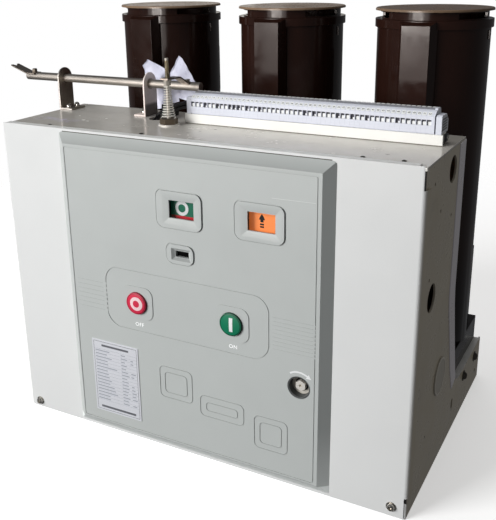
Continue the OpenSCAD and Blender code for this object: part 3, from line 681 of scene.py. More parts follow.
# panel relief: mouldings in the lower field and the ribbed fields at both sides, in darker greys that paint in the
# shade of the grooves they stand for
bm = bmesh.new()
for x, z, w, h, r in ((-21, 108, 50, 46, 7), (-21, 108, 34, 30, 5), (48, 88, 64, 30, 7), (48, 88, 46, 12, 4), (118, 72, 46, 46, 7), (118, 72, 30, 30, 5)):
    add_ridge(bm, round_rect(x, z, w, h, r), 1.2, 0.5, 0.6)
finish_mesh("panel_mouldings", bm, M["panel_line"], smooth=40)
bm = bmesh.new()
for i in range(7):
    add_ridge(bm, [(-174, 194 + 6.5 * i), (-131, 194 + 6.5 * i)], 0.9, 0.45, 0.25, closed=False)
for i in range(9):
    add_ridge(bm, [(121, 194 + 5.2 * i), (174, 194 + 5.2 * i)], 0.9, 0.45, 0.25, closed=False)
finish_mesh("panel_ribs", bm, M["panel_line2"], smooth=40)
bm = bmesh.new()
for i in range(7):
    add_box(bm, *pan((-127.3, -0.79, 192.4 + 6.5 * i), (-125.1, 0.02, 195.6 + 6.5 * i)), bevel=0.0001)
for i in range(9):
    add_box(bm, *pan((175.2, -0.79, 192.4 + 5.2 * i), (177.2, 0.02, 194.6 + 5.2 * i)), bevel=0.0001)
finish_mesh("panel_groove_bridges", bm, M["panel"], smooth=40)
bm = bmesh.new()
add_ridge(bm, [(120, 383.5), (174.3, 384.1)], 0.8, 0.4, 0.15, closed=False)
finish_mesh("panel_upper_line", bm, M["panel_pale"], smooth=40)

# captions under the buttons
bm = bmesh.new()
text_bm(bm, "OFF", 7.4 * MM, (-0.0745, PY - 0.00005, 0.1835), 0.0002, (1, 0, 0), (0, 0, 1), (0, -1, 0), spacing=1.1)
text_bm(bm, "ON", 7.4 * MM, (0.0665, PY - 0.00005, 0.1835), 0.0002, (1, 0, 0), (0, 0, 1), (0, -1, 0), spacing=1.1)
finish_mesh("button_captions", bm, M["caption"])

# marks on the two flags
FL = rel_y("switch_indicator")
bm = bmesh.new()
add_ring(bm, mmr(circle(-7.8, 351.3, 9.5, 40)), mmr(circle(-7.8, 351.3, 5.3, 40)), YF + (FL - 0.15) * MM, YF + (FL + 0.1) * MM)
add_prism(bm, mmr(round_rect(-7.8, 329.3, 4.3, 15, 0.6, 3)), YF + (FL - 0.15) * MM, YF + (FL + 0.1) * MM)
finish_mesh("switch_marks", bm, M["white"], body="switch_flag", smooth=40)
bm = bmesh.new()
FS = rel_y("storage_indicator")
ylo, yhi = YF + (FS - 0.15) * MM, YF + (FS + 0.1) * MM
ax, az = 102.5, 350.6
add_prism(bm, mmr([(ax - 2.0, az - 1.6), (ax + 2.0, az - 1.6), (ax + 2.0, az + 1.4), (ax + 3.95, az + 1.4), (ax + 2.4, az + 5.2), (ax, az + 8.6), (ax - 2.4, az + 5.2), (ax - 3.95, az + 1.4), (ax - 2.0, az + 1.4)]), ylo, yhi)
for dz in (-4.2, -7.4):
    add_prism(bm, mmr(round_rect(ax, az + dz, 5.2, 2.0, 0.4, 2)), ylo, yhi)
for dz in (0.0, 3.4, 6.8):
    add_prism(bm, mmr(round_rect(ax, 325.5 + dz, 5.2, 2.0, 0.4, 2)), ylo, yhi)
finish_mesh("storage_marks", bm, M["black_ink"], body="storage_flag", smooth=40)

# button marks that follow the domes
BF = rel_y("off_button")                 # front of the dome
RB = 78.0


def dome_y(x, z, extra):
    return YF + (BF + RB - math.sqrt((RB + extra) ** 2 - x * x - z * z)) * MM


bm = bmesh.new()
n = 48
prof = [(4.9, 0.14), (6.3, 0.14), (7.8, 0.14), (9.5, 0.14), (9.5, -0.2), (7.8, -0.2), (6.3, -0.2), (4.9, -0.2)]
add_loop(bm, [[bm.verts.new(((-74.8 + r * math.cos(2 * math.pi * k / n)) * MM, dome_y(1.2 + r * math.cos(2 * math.pi * k / n), 0.3 + r * math.sin(2 * math.pi * k / n), ex), (215.3 + r * math.sin(2 * math.pi * k / n)) * MM)) for k in range(n)] for r, ex in prof])
finish_mesh("off_mark", bm, M["pink_ink"], body="off_button_push", smooth=40)
# painted shade: darker rims of the two caps, for their chamfers in shade
for x, mat, nm, body in ((-76, "red_rim_shade", "off_rim_shade", "off_button_push"), (65, "green_rim_shade", "on_rim_shade", "on_button_push")):
    bm = bmesh.new()
    add_loop(bm, [[bm.verts.new(at(x + r * math.cos(2 * math.pi * k / n), BF + y, 215 + r * math.sin(2 * math.pi * k / n))) for k in range(n)] for r, y in ((13.5, 1.02), (14.3, 1.20), (15.12, 1.9), (15.12, 5.3), (14.4, 5.3), (13.5, 1.7))])
    finish_mesh(nm, bm, M[mat], body=body, smooth=40)
bm = bmesh.new()
xs, zs = [-1.0, 0.5, 2.3, 3.8], [-8.7 + 2.3 * i for i in range(9)]
rows = []
for z in zs:
    rows.append([bm.verts.new(((65 + x) * MM, dome_y(x, z, 0.14), (215 + z) * MM)) for x in xs] + [bm.verts.new(((65 + x) * MM, dome_y(x, z, -0.2), (215 + z) * MM)) for x in xs[::-1]])
add_loop(bm, rows, closed=False)
bmesh.ops.triangulate(bm, faces=[f for f in bm.faces if len(f.verts) > 4])
finish_mesh("on_mark", bm, M["white"], body="on_button_push", smooth=40)

# crank socket: light inner ring and the arc arrow on the panel
bm = bmesh.new()
n = 48
cy = [(9.2, -0.5), (12.6, -0.5), (12.85, 0.0), (12.85, 1.9), (8.75, 1.9), (8.75, -0.2)]
add_loop(bm, [[bm.verts.new(at(156 + r * math.cos(2 * math.pi * k / n), y, 149.3 + r * math.sin(2 * math.pi * k / n))) for k in range(n)] for r, y in cy])
finish_mesh("crank_socket_ring", bm, M["plug"], smooth=40)
bm = bmesh.new()
arc = [math.radians(124 - 66 * k / 16) for k in range(17)]
outer = [(156 + 21.9 * math.cos(a), 149.3 + 21.9 * math.sin(a)) for a in arc]
inner = [(156 + 19.7 * math.cos(a), 149.3 + 19.7 * math.sin(a)) for a in arc]
add_prism(bm, mmr(outer + inner[::-1]), PY - 0.00015, PY + 0.0001)
a = math.radians(58)
hx, hz = 156 + 20.8 * math.cos(a), 149.3 + 20.8 * math.sin(a)
tx, tz = math.sin(a), -math.cos(a)
add_prism(bm, mmr([(hx - 3.4 * math.cos(a), hz - 3.4 * math.sin(a)), (hx + 6.0 * tx, hz + 6.0 * tz), (hx + 3.4 * math.cos(a), hz + 3.4 * math.sin(a))]), PY - 0.00015, PY + 0.0001)
finish_mesh("crank_arrow", bm, M["white"])

# rating plate: ruled table with filled bars and no lettering
rnd = random.Random(7)
px0, px1, pz0, pz1 = -118.7 - 38.5, -118.7 + 38.5, 90.5 - 56, 90.5 + 56
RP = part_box("rating_plate")[0].y


def plate_bar(bm, x0, x1, z0, z1, mi=0):
    add_box(bm, (x0 * MM, RP - 0.00007, z0 * MM), (x1 * MM, RP + 0.0001, z1 * MM), mi)


bm = bmesh.new()
add_ring(bm, mmr(round_rect(-118.7, 90.5, 72, 107, 1.2, 3)), mmr(round_rect(-118.7, 90.5, 71, 106, 0.9, 3)), RP - 0.00007, RP + 0.0001)
plate_bar(bm, px0 + 16, px1 - 16, pz1 - 9.6, pz1 - 6.6)
top = pz1 - 14
for i in range(17):
    z = top - i * 5.0
    plate_bar(bm, px0 + 3, px1 - 3, z - 0.12, z + 0.12, 1)
    if i < 16:
        plate_bar(bm, px0 + 5, px0 + 5 + rnd.uniform(18, 36), z - 3.4, z - 1.8, 1)
        plate_bar(bm, px0 + 48, px0 + 48 + rnd.uniform(6, 14), z - 3.4, z - 1.8, 1)
        if rnd.random() < 0.6:
            plate_bar(bm, px0 + 64, px0 + 64 + rnd.uniform(4, 8), z - 3.4, z - 1.8, 1)
plate_bar(bm, px0 + 9, px1 - 9, pz0 + 6.0, pz0 + 9.2)
finish_mesh("rating_print", bm, [M["grey_ink"], M["light_ink"]])


def add_screw(bm, pos, direction, d, h, washer=0.0, socket=True, n=28, mi=0):
    """Button-head screw with a socket, in millimetres, at a point in metres."""
    r = d / 2
    if washer:
        add_lathe(bm, [(washer / 2 * MM, 0), (washer / 2 * MM, 0.7 * MM), (washer / 2 * MM - 0.3 * MM, 1.0 * MM), (0, 1.0 * MM)], pos, direction, n, mi)
    base = 0.9 if washer else 0.0
    prof = [(r, base), (r, base + 0.35 * h), (0.86 * r, base + 0.75 * h), (0.6 * r, base + h)]
    prof += [(0.46 * r, base + h), (0.42 * r, base + 0.4 * h), (0, base + 0.35 * h)] if socket else [(0.3 * r, base + 1.08 * h), (0, base + 1.1 * h)]
    add_lathe(bm, [(a * MM, b * MM) for a, b in prof], pos, direction, n, mi)


bm = bmesh.new()
for x, z in ((-275.3, 9.9), (274.3, 13.4)):
    add_screw(bm, at(x, 0, z), (0, -1, 0), 9.6, 4.2, washer=13)
finish_mesh("cover_screws", bm, M["screw"], smooth=35)

# upper right corner: painted shade as dark blocks inside the notch and behind the lower cut, a dark line at the cover's
# lower right edge, the folded corner and the lip below it
bm = bmesh.new()
add_box(bm, at(289.6, 1.2, 409.5), at(292.25, 1.9, 431.0), bevel=0.0001)
add_box(bm, at(289.3, 1.0, 21.9), at(292.25, 1.75, 29.1), bevel=0.0001)
add_box(bm, at(289.6, -0.05, 1.5), at(290.15, 0.3, 21.95))
finish_mesh("notch_shadow_gap", bm, M["dark"], smooth=40)
# painted shadow: dark line along the panel's head where it meets the cover
bm = bmesh.new()
add_box(bm, at(-188.5, -0.10, 432.0), at(188.5, 0.1, 433.1), bevel=0.00005)
finish_mesh("panel_head_shadow_line", bm, M["gap"], smooth=40)
# painted highlight: the folded corner in the lighter copy of the box paint
bm = bmesh.new()
add_box(bm, at(289.9, 0.4, 430.8), at(293.0, 6.0, 435.0), bevel=0.0009)
finish_mesh("top_corner_fold", bm, M["box_light"], smooth=40)
bm = bmesh.new()
add_tube(bm, [at(290.6, 0.7, 408.9), at(291.9, 1.5, 409.1), at(293.1, 2.9, 409.3), at(293.6, 5.4, 409.6), at(293.7, 14, 410.0)], 0.55 * MM, 8)
finish_mesh("notch_lip", bm, M["cover"], smooth=40)

# screws and chips on the top plate
bm = bmesh.new()
for x, y in ((-224, 17.5), (-78, 21), (216, 20), (262, 21)):
    add_screw(bm, Vector((x * MM, YF + y * MM, TOP)), (0, 0, 1), 5.6, 1.3, socket=True, n=20)
finish_mesh("top_plate_screws", bm, M["dark_screw"], smooth=35)
bm = bmesh.new()
rnd = random.Random(11)
for x, y, s in ((-206, 66, 3.4), (-196, 62, 2.2), (-183, 88, 2.0), (-232, 90, 1.8), (180, 24, 3.0), (-20, 40, 1.8)):
    add_prism(bm, [((x + s * (0.7 + 0.5 * rnd.random()) * math.cos(k)) * MM, YF + (y + 0.7 * s * (0.6 + 0.6 * rnd.random()) * math.sin(k)) * MM) for k in (0, 0.9, 1.8, 2.7, 3.6, 4.5, 5.4)], TOP - 0.0001, TOP + 0.00012, axis="z")
finish_mesh("paint_chips", bm, M["chip"])
bm = bmesh.new()
for x, y, s in ((-28, 52, 2.6), (-18, 66, 2.2), (-6, 84, 2.0), (236, 44, 2.4)):
    add_prism(bm, [((x + s * (0.8 + 0.5 * rnd.random()) * math.cos(k)) * MM, YF + (y + 0.6 * s * (0.6 + 0.6 * rnd.random()) * math.sin(k)) * MM) for k in (0, 0.9, 1.8, 2.7, 3.6, 4.5, 5.4)], TOP - 0.0001, TOP + 0.00012, axis="z")
finish_mesh("top_scuffs", bm, M["scuff"])

# rear flanges that wrap onto the sides, in a lighter, cooler copy of the box paint that paints in the light on them,
# and fasteners on the extension
for s, side in ((1, "right"), (-1, "left")):
    bm = bmesh.new()
    back = [(174.2, 431), (174.2, 236), (179.2, 212), (193.2, 164), (214.2, 98), (222.5, 82)]
    front = [(146, 431), (146, 232), (150, 212), (164, 170), (183, 112), (200, 74)]
    pts = [((YF + y * MM), z * MM) for y, z in front + back[::-1]]
    x0, x1 = sorted((s * (SX - 0.0003), s * (SX + 0.0011)))
    add_prism(bm, pts, x0, x1, axis="x")
    es = [e for e in bm.edges if all(abs(abs(v.co.x) - (SX + 0.0011)) < 1e-6 for v in e.verts)]
    bmesh.ops.bevel(bm, geom=es, offset=0.0005, segments=1, profile=0.5, affect="EDGES", clamp_overlap=True)
    finish_mesh(side + "_rear_flange", bm, M["strip"], smooth=35)
    bm = bmesh.new()
    for y, z in ((282, 54), (353, 52)):
        add_screw(bm, Vector((s * SX, YF + y * MM, z * MM)), (s, 0, 0), 11, 4.0, washer=16, n=24)
    finish_mesh(side + "_rail_screws", bm, M["dark_screw"], smooth=35)
    bm = bmesh.new()
    n = 40
    rim = [(22.5, 1.6), (25.2, 1.6), (25.2, 1.95), (24.6, 2.15), (23.0, 2.15), (22.5, 1.9)]
    add_loop(bm, [[bm.verts.new(Vector((s * (SX + h * MM), YF + (123 + r * math.cos(2 * math.pi * k / n)) * MM, (133 + r * math.sin(2 * math.pi * k / n)) * MM))) for k in range(n)] for r, h in rim])
    finish_mesh(side + "_plug_rim", bm, M["plug_light"], smooth=40)
    # drum of the mechanism seen through the middle hole
    bm = bmesh.new()
    add_lathe(bm, [(0, 0), (13 * MM, 0), (15 * MM, 2 * MM), (15 * MM, 24 * MM), (11 * MM, 26 * MM), (11 * MM, 44 * MM), (0, 44 * MM)], Vector((s * (SX - 0.064), YF + 0.0605, 0.262)), (s, 0, 0), 32)
    finish_mesh(side + "_drum", bm, M["drum"], smooth=35)

# terminal row, way by way
RY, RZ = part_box("terminal_rail")[0].y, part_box("terminal_rail")[1].z
X0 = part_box("terminal_row")[0].x
WAY = 6.2 * MM
WAYS = 52


def row(pts):
    return [(RY + a * MM, RZ + b * MM) for a, b in pts]


profile = [(3, 0), (3, 1.2), (0.8, 1.2), (0.8, 10.1), (3.8, 10.1), (3.8, 16.5), (0.8, 16.5), (0.8, 20.6), (8, 25.4), (12.5, 26.6), (13.5, 28), (19.2, 28), (19.8, 27.3), (23, 27.3), (26, 26.5), (28, 20), (28, 0)]
# material by side, starting with the side from point 0 to point 1
# index 1 paints shade on the faces inside the wire window
kind = [0, 0, 0, 1, 1, 1, 0, 0, 0, 2, 3, 0, 3, 0, 0, 0, 0]
bm = bmesh.new()
rnd = random.Random(5)
slope_u, slope_v = Vector((1, 0, 0)), Vector((0, 0.832, 0.5547))
for i in range(WAYS):
    a, b = X0 + i * WAY, X0 + (i + 1) * WAY - 0.07 * MM
    fs = add_prism(bm, row(profile), a, b, axis="x")
    for k, f in enumerate(fs[2:]):
        f.material_index = kind[k]
    # dividers at the sides of the wire window
    for lo, hi in ((a, a + 0.5 * MM), (b - 0.4 * MM, b)):
        add_box(bm, (lo + 1e-5, RY + 0.83 * MM, RZ + 10.0 * MM), (hi - 1e-5, RY + 3.9 * MM, RZ + 16.6 * MM), 0)
    # light block of the clamp inside the window
    if rnd.random() > (0.30 if i < 14 else 0.12):
        add_box(bm, (b - 4.0 * MM, RY + 1.5 * MM, RZ + 10.0 * MM), (b - 0.35 * MM, RY + 3.9 * MM, RZ + (14.2 + rnd.uniform(-0.3, 0.4)) * MM), 4)
    else:
        add_box(bm, (b - 2.6 * MM, RY + 2.2 * MM, RZ + 10.0 * MM), (b - 0.35 * MM, RY + 3.9 * MM, RZ + 12.4 * MM), 4)
    # marker tag on the slope with its number
    o = Vector(((a + b) / 2, RY + 0.8 * MM, RZ + 20.6 * MM)) + slope_v * 3.9 * MM
    add_plate(bm, mmr(round_rect(0, 0, 4.9, 5.6, 0.9, 3)), o, slope_u, slope_v, 0.3 * MM, 4, sink=0.0002)
    # light bar on the rear half
    add_box(bm, (a + 0.8 * MM, RY + 20.3 * MM, RZ + 26.6 * MM), (b - 0.9 * MM, RY + 24.6 * MM, RZ + 28.0 * MM), 4)
# painted shade: a dark inner body behind the ways
add_prism(bm, row([(3.4, 0.3), (3.4, 1.5), (4.2, 1.9), (4.2, 20.2), (8.4, 24.6), (12.7, 25.9), (13.8, 27.2), (22.6, 26.6), (25.2, 25.8), (27.3, 19.8), (27.3, 0.3)]), X0 + 0.3 * MM, X0 + WAYS * WAY - 0.3 * MM, axis="x", mi=1)
ex = X0 + WAYS * WAY
add_prism(bm, row([(3, 0), (3, 1.0), (0.5, 1.0), (0.5, 20.8), (7.9, 25.7), (12.5, 26.9), (13.4, 28.3), (23.1, 28.3), (26.3, 26.8), (28.3, 20), (28.3, 0)]), ex, ex + 3.4 * MM, axis="x", mi=0)
ob = finish_mesh("terminal_ways", bm, [M["terminal"], M["terminal_recess_shade"], M["terminal_dark"], M["terminal_band"], M["white"]], smooth=None)
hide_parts("terminal_row")
bm = bmesh.new()
for i in range(WAYS):
    o = Vector((X0 + (i + 0.5) * WAY, RY + 0.8 * MM, RZ + 20.6 * MM)) + slope_v * 3.9 * MM + Vector((0, -0.5547, 0.832)) * 0.34 * MM
    text_bm(bm, str(i + 1), 3.4 * MM, o, 0.00014, slope_u, slope_v, (0, -0.5547, 0.832), spacing=0.95)
finish_mesh("terminal_numbers", bm, M["black_ink"])

# rail: painted shadow line under its front edge, and the clip below the right-hand clamp
bm = bmesh.new()
rx0, rx1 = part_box("terminal_rail")[0].x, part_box("terminal_rail")[1].x
add_box(bm, (rx0 + 0.0006, RY - 0.0002, TOP + 0.00005), (rx1 - 0.0006, RY + 0.001, TOP + 0.0009))
finish_mesh("rail_foot_shadow_line", bm, M["seam"])
sx1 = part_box("terminal_end_stop")[1].x
bm = bmesh.new()
for k in range(5):
    z = RZ + (4.0 + 3.1 * k) * MM
    add_box(bm, (sx1 - 0.0002, RY + 4.5 * MM, z), (sx1 + 0.0006, RY + 24 * MM, z + 1.6 * MM), bevel=0.0002)
finish_mesh("end_clamp_ribs", bm, M["terminal_dark"], smooth=40)
bm = bmesh.new()
add_box(bm, (sx1 - 0.006, RY + 0.0065, TOP + 0.0002), (sx1 + 0.0012, RY + 0.0145, RZ - 0.0022), bevel=0.0005)
add_box(bm, (sx1 - 0.006, RY + 0.0165, TOP + 0.0022), (sx1 + 0.0026, RY + 0.0262, RZ - 0.0022), bevel=0.0006)
finish_mesh("rail_clip", bm, M["clip"], smooth=40)
bm = bmesh.new()
add_screw(bm, Vector((sx1 + 0.0025, RY + 0.0212, TOP + 0.0072)), (1, 0, 0), 5.4, 1.6, n=20)
finish_mesh("rail_clip_screw", bm, M["screw"], smooth=35)

# interlock hardware
SZ = (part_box("interlock_shaft")[0].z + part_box("interlock_shaft")[1].z) / 2
SY = (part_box("interlock_shaft")[0].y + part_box("interlock_shaft")[1].y) / 2
PL = (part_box("interlock_plunger")[0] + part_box("interlock_plunger")[1]) / 2
seat = SZ + 5.3 * MM


def add_bolt(bm, pos, d, h, washer, mi=0, turn=10, socket=False):
    """Hex bolt standing up, with a chamfered head on a washer."""
    x, y, z = pos
    add_lathe(bm, [(washer / 2 * MM, -0.1 * MM), (washer / 2 * MM, 0.7 * MM), ((washer / 2 - 0.3) * MM, 0.95 * MM), (0, 0.95 * MM)], pos, (0, 0, 1), 28, mi)
    r = d / 2 * MM
    rings = []
    for k, h0 in ((1.0, 0.8), (1.0, 0.8 + 0.8 * h), (0.84, 0.8 + h)):
        rings.append([bm.verts.new((x + r * k * math.cos(math.radians(60 * j + turn)), y + r * k * math.sin(math.radians(60 * j + turn)), z + h0 * MM)) for j in range(6)])
    add_loop(bm, rings, mi, closed=False)


bm = bmesh.new()
add_bolt(bm, (-0.3493, SY, seat), 8.0, 4.8, 0.0 + 9.4)
finish_mesh("fork_screw", bm, M["nut_dull"], body="interlock_lever", smooth=30)
bm = bmesh.new()
add_bolt(bm, (PL.x, SY + 0.2 * MM, seat - 0.1 * MM), 7.0, 3.6, 8.6)
finish_mesh("finger_screw", bm, M["screw"], body="interlock_lever", smooth=30)
bm = bmesh.new()
for x, y in ((-282.6, 127.6), (-280.0, 143.2)):
    p = Vector((x * MM, YF + y * MM, TOP + 2.5 * MM))
    add_screw(bm, p, (0, 0, 1), 7.6, 4.4, washer=9.4, socket=False, n=24)
p = Vector((-0.1512, YF + 0.134, TOP + 2.5 * MM))
add_screw(bm, p, (0, 0, 1), 7.6, 4.4, washer=9.4, socket=False, n=24)
finish_mesh("bracket_screws", bm, M["bolt_bright"], smooth=35)
# thread on the upper end of the plunger
bm = bmesh.new()
pz1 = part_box("interlock_plunger")[1].z / MM
prof = [(2.3, 496.2)]
z = 496.4
while z < pz1 - 3.0:
    prof += [(2.5, z), (2.78, z + 0.35), (2.5, z + 0.7)]
    z += 0.8
prof += [(2.3, z + 0.1)]
add_lathe(bm, [(2.3 * MM, 496.2 * MM)] + [(a * MM, b * MM) for a, b in prof[1:]], Vector((PL.x, PL.y, 0)), (0, 0, 1), 24)
finish_mesh("plunger_thread", bm, M["thread"], body="interlock_pin", smooth=50)
# conical spring, and the bright washer under the bush
lo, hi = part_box("plunger_spring")
bm = bmesh.new()
z0, z1, turns = lo.z / MM + 0.3, hi.z / MM - 0.3, 13
pts = []
for i in range(turns * 20 + 1):
    t = i / (turns * 20)
    r = 4.6 + 4.5 * (1 - t) ** 2
    pts.append(Vector(((PL.x / MM + r * math.cos(2 * math.pi * turns * t)) * MM, (PL.y / MM + r * math.sin(2 * math.pi * turns * t)) * MM, (z0 + (z1 - z0) * t) * MM)))
add_tube(bm, pts, 0.58 * MM, 8)
ob = finish_mesh("spring_coil", bm, M["spring"], smooth=60)
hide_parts("plunger_spring")
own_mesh(ob)
bm = bmesh.new()
n = 40
add_loop(bm, [[bm.verts.new(Vector((PL.x + r * MM * math.cos(2 * math.pi * k / n), PL.y + r * MM * math.sin(2 * math.pi * k / n), TOP + h * MM))) for k in range(n)] for r, h in ((10.6, 1.2), (10.6, 1.8), (13.5, 1.8), (13.9, 1.4), (13.9, -0.1), (13.5, -0.1), (13.0, 1.2))])
finish_mesh("bush_washer", bm, M["washer"], smooth=40)
# rings where the shaft passes the brackets
bm = bmesh.new()
n = 36
for x0, x1 in ((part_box("left_shaft_bracket")[0].x - 0.0011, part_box("left_shaft_bracket")[0].x + 0.0002), (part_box("left_shaft_bracket")[0].x + 0.0023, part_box("left_shaft_bracket")[0].x + 0.0036),
               (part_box("right_shaft_bracket")[1].x - 0.0036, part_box("right_shaft_bracket")[1].x - 0.0023), (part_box("right_shaft_bracket")[1].x - 0.0002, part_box("right_shaft_bracket")[1].x + 0.0011)):
    add_loop(bm, [[bm.verts.new((x, SY + r * MM * math.cos(2 * math.pi * k / n), SZ + r * MM * math.sin(2 * math.pi * k / n))) for k in range(n)] for x, r in ((x0, 6.3), (x0, 7.5), (x1, 7.5), (x1, 6.3))])
finish_mesh("shaft_bearing_rings", bm, M["lever"], smooth=40)

# crumpled film around the control plug
bm = bmesh.new()
lobes = [[(-156.5, 509.3), (-165.6, 500.0), (-160.0, 474.0), (-152.0, 452.0), (-146.0, 438.6), (-134.0, 441.0), (-122.0, 447.0), (-119.0, 462.0), (-121.0, 480.0), (-127.4, 497.8)],
         [(-102.8, 516.7), (-120.0, 491.5), (-118.2, 475.0), (-111.6, 458.3), (-95.0, 454.6), (-77.6, 465.5), (-78.8, 481.5), (-95.6, 512.6)],
         [(-128.0, 446.0), (-108.0, 452.0), (-106.0, 482.0), (-124.0, 486.0)]]
rnd = random.Random(3)


def crumple(x, z, s):
    """Flat facets that meet in creases."""
    f = 0.0
    for u, v, ph, amp in ((0.115, 0.05, 0.4, 1.5), (-0.07, 0.13, 1.3, 1.3), (0.21, -0.12, 2.2, 0.7), (0.30, 0.27, 0.2, 0.35)):
        f += amp * math.asin(math.sin(u * x + v * z + ph + 1.7 * s)) * 2 / math.pi
    return f


for s, lobe in enumerate(lobes):
    y_mid = (156.0, 155.0, 158.5)[s]
    tmp = bmesh.new()
    f = tmp.faces.new([tmp.verts.new((x, 0, z)) for x, z in lobe])
    bmesh.ops.triangulate(tmp, faces=[f])
    for _ in range(4):
        bmesh.ops.subdivide_edges(tmp, edges=list(tmp.edges), cuts=1, use_grid_fill=True)
        bmesh.ops.triangulate(tmp, faces=list(tmp.faces))
    edge = {v for e in tmp.edges if e.is_boundary for v in e.verts}
    front, back = {}, {}
    for v in tmp.verts:
        x, z = v.co.x, v.co.z
        j = 0.5 if v in edge else 1.0
        yy = y_mid + j * crumple(x, z, s) + (2.5 * math.sin(0.05 * (z - 440)) if s < 2 else 0)
        dx = 0.4 * math.sin(0.5 * z + s) if v in edge else 0
        front[v] = bm.verts.new(at(x + dx, yy - 0.12, z))
        back[v] = bm.verts.new(at(x + dx, yy + 0.12, z))
    for f in tmp.faces:
        bm.faces.new([front[v] for v in f.verts])
        bm.faces.new([back[v] for v in reversed(f.verts)])
    for e in tmp.edges:
        if e.is_boundary:
            a, b = e.verts
            bm.faces.new((front[a], front[b], back[b], back[a]))
    tmp.free()
ob = finish_mesh("plug_film", bm, M["film"], smooth=16)
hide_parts("plug_wrap")

# plug body under the film
bm = bmesh.new()
add_box(bm, at(-128, 143.5, TOP / MM + 0.0), at(-104, 152.5, TOP / MM + 15), bevel=0.0012)
finish_mesh("control_plug", bm, M["wire"], smooth=40)

# ------------------------------------------------------- camera and lights

def camera():
    yaw, pitch, roll = math.radians(28.4621), math.radians(18.2114), math.radians(-0.856)
    r = Vector((math.cos(yaw), math.sin(yaw), 0))
    d = Vector((-math.sin(yaw) * math.cos(pitch), math.cos(yaw) * math.cos(pitch), -math.sin(pitch)))
    u = r.cross(d)
    r2 = r * math.cos(roll) + u * math.sin(roll)
    u2 = u * math.cos(roll) - r * math.sin(roll)
    cam = bpy.data.cameras.new("camera")
    cam.sensor_fit = "HORIZONTAL"
    cam.sensor_width = 36
    cam.lens = 784.607 * 36 / 496
    cam.shift_x = (248 - 238.72) / 496
    cam.shift_y = (221.25 - 260) / 496
    cam.clip_start, cam.clip_end = 0.05, 50
    ob = link(bpy.data.objects.new("camera", cam))
    m = Matrix((r2, u2, -d)).transposed().to_4x4()
    m.translation = Vector((0.49367, -0.97450, 0.63727))
    ob.matrix_world = m
    bpy.context.scene.camera = ob


def area(name, at, to, size, power, color=(1, 1, 1), size_y=None):
    li = bpy.data.lights.new(name, "AREA")
    li.energy = power
    li.color = color
    li.size = size
    if size_y:
        li.shape = "RECTANGLE"
        li.size_y = size_y
    ob = link(bpy.data.objects.new(name, li))
    at, to = Vector(at), Vector(to)
    ob.matrix_world = Matrix.Translation(at) @ (at - to).to_track_quat("Z", "Y").to_matrix().to_4x4()
    return ob


camera()
world = bpy.data.worlds.new("studio")
bpy.context.scene.world = world
world.use_nodes = True
wt = world.node_tree
bg = wt.nodes["Background"]
bg.inputs["Color"].default_value = (0.96, 0.97, 1.0, 1)
bg.inputs["Strength"].default_value = 0.10
bg2 = wt.nodes.new("ShaderNodeBackground")
bg2.inputs["Color"].default_value = (1, 1, 1, 1)
bg2.inputs["Strength"].default_value = 1.0
lp = wt.nodes.new("ShaderNodeLightPath")
mx = wt.nodes.new("ShaderNodeMixShader")
wt.links.new(lp.outputs["Is Camera Ray"], mx.inputs[0])
wt.links.new(bg.outputs[0], mx.inputs[1])
wt.links.new(bg2.outputs[0], mx.inputs[2])
wt.links.new(mx.outputs[0], wt.nodes["World Output"].inputs["Surface"])

MID = (CAD_LO + CAD_HI) / 2
area("key", MID + Vector((-2.35, -3.45, 1.30)), MID + Vector((0.05, -0.1, -0.08)), 2.3, 222, (1.0, 1.0, 1.0)).visible_glossy = False
area("overhead", MID + Vector((-0.2, 0.1, 1.9)), MID + Vector((0, -0.05, 0.1)), 1.3, 9, (1.0, 0.98, 0.95)).visible_glossy = False
area("right_fill", MID + Vector((2.4, 0.5, 0.5)), MID, 1.4, 2.8, (1.0, 0.92, 0.78)).visible_glossy = False
area("back_fill", MID + Vector((-0.6, 2.6, 0.9)), MID, 1.8, 12, (1.0, 0.99, 0.97)).visible_glossy = False


def card(name, centre, to, width, height, radiance, color):
    """Reflection card: seen only in gloss, like the bright parts of a room."""
    ob = area(name, centre, to, width, radiance * width * height * math.pi, color, size_y=height)
    ob.visible_diffuse = False
    return ob


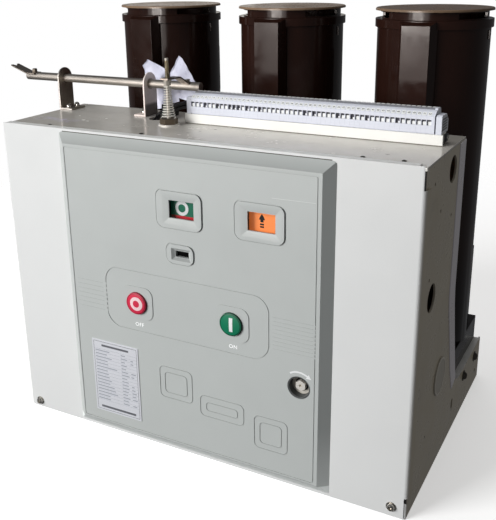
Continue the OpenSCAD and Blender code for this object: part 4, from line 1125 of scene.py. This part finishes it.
card("card_window", (-0.30, -1.40, 0.46), (0.0, 0.1, 0.46), 1.25, 0.46, 2.4, (1.0, 0.91, 0.86))
for i in range(4):
    for j in range(2):
        card(f"card_pane_{i}_{j}", (-0.56 + 0.165 * i, -1.38, 0.475 + 0.10 * j), (-0.56 + 0.165 * i, 0.1, 0.475 + 0.10 * j),
             0.13, 0.075, 20, (1.0, 0.93, 0.88))
card("card_key", MID + Vector((-2.35, -3.45, 1.30)), MID + Vector((0.05, -0.1, -0.08)), 2.3, 2.3, 6.8, (1.0, 0.99, 0.98))
card("card_back", (-2.0, 2.5, 0.70), (0.0, 0.1, 0.6), 1.3, 0.28, 0.55, (1.0, 0.95, 0.86))
card("card_back_low", (-1.05, 2.5, 0.70), (0.0, 0.1, 0.6), 0.62, 0.28, 0.30, (1.0, 0.95, 0.86))
card("card_top", (-1.65, 2.5, 1.09), (0.0, 0.0, 0.43), 0.95, 0.32, 0.50, (1.0, 0.98, 0.94))

floor_me = bpy.data.meshes.new("floor")
floor_me.from_pydata([(-6, -6, 0), (6, -6, 0), (6, 6, 0), (-6, 6, 0)], [], [(0, 1, 2, 3)])
floor = link(bpy.data.objects.new("floor", floor_me))
fl = Nodes("floor_pale")
fl.b.inputs["Emission Color"].default_value = (1, 1, 1, 1)
fl.b.inputs["Emission Strength"].default_value = 0.48
floor_me.materials.append(fl.done(fl.mix(fl.ramp(fl.noise(3, 3), 0.3, 0.7), srgb(246, 246, 246), srgb(249, 249, 249)), 0.7, fl.bump(fl.noise(200, 2), 0.05, 0.0002)))
# the floor's rim runs out into the pale backdrop, so that no horizon shows
dist = fl.new("VectorMath", operation="LENGTH")
fl.wire(fl.obj, dist.inputs[0])
clear = fl.new("BsdfTransparent")
fade = fl.new("MixShader")
fl.wire(fl.ramp(dist.outputs["Value"], 0.7, 1.7), fade.inputs[0])
fl.wire(fl.b.outputs[0], fade.inputs[1])
fl.wire(clear.outputs[0], fade.inputs[2])
fl.wire(fade.outputs[0], fl.out.inputs["Surface"])
floor.visible_diffuse = False
floor.visible_glossy = False

sc = bpy.context.scene
sc.view_settings.view_transform = "Standard"
sc.view_settings.look = "None"
sc.cycles.use_denoising = True
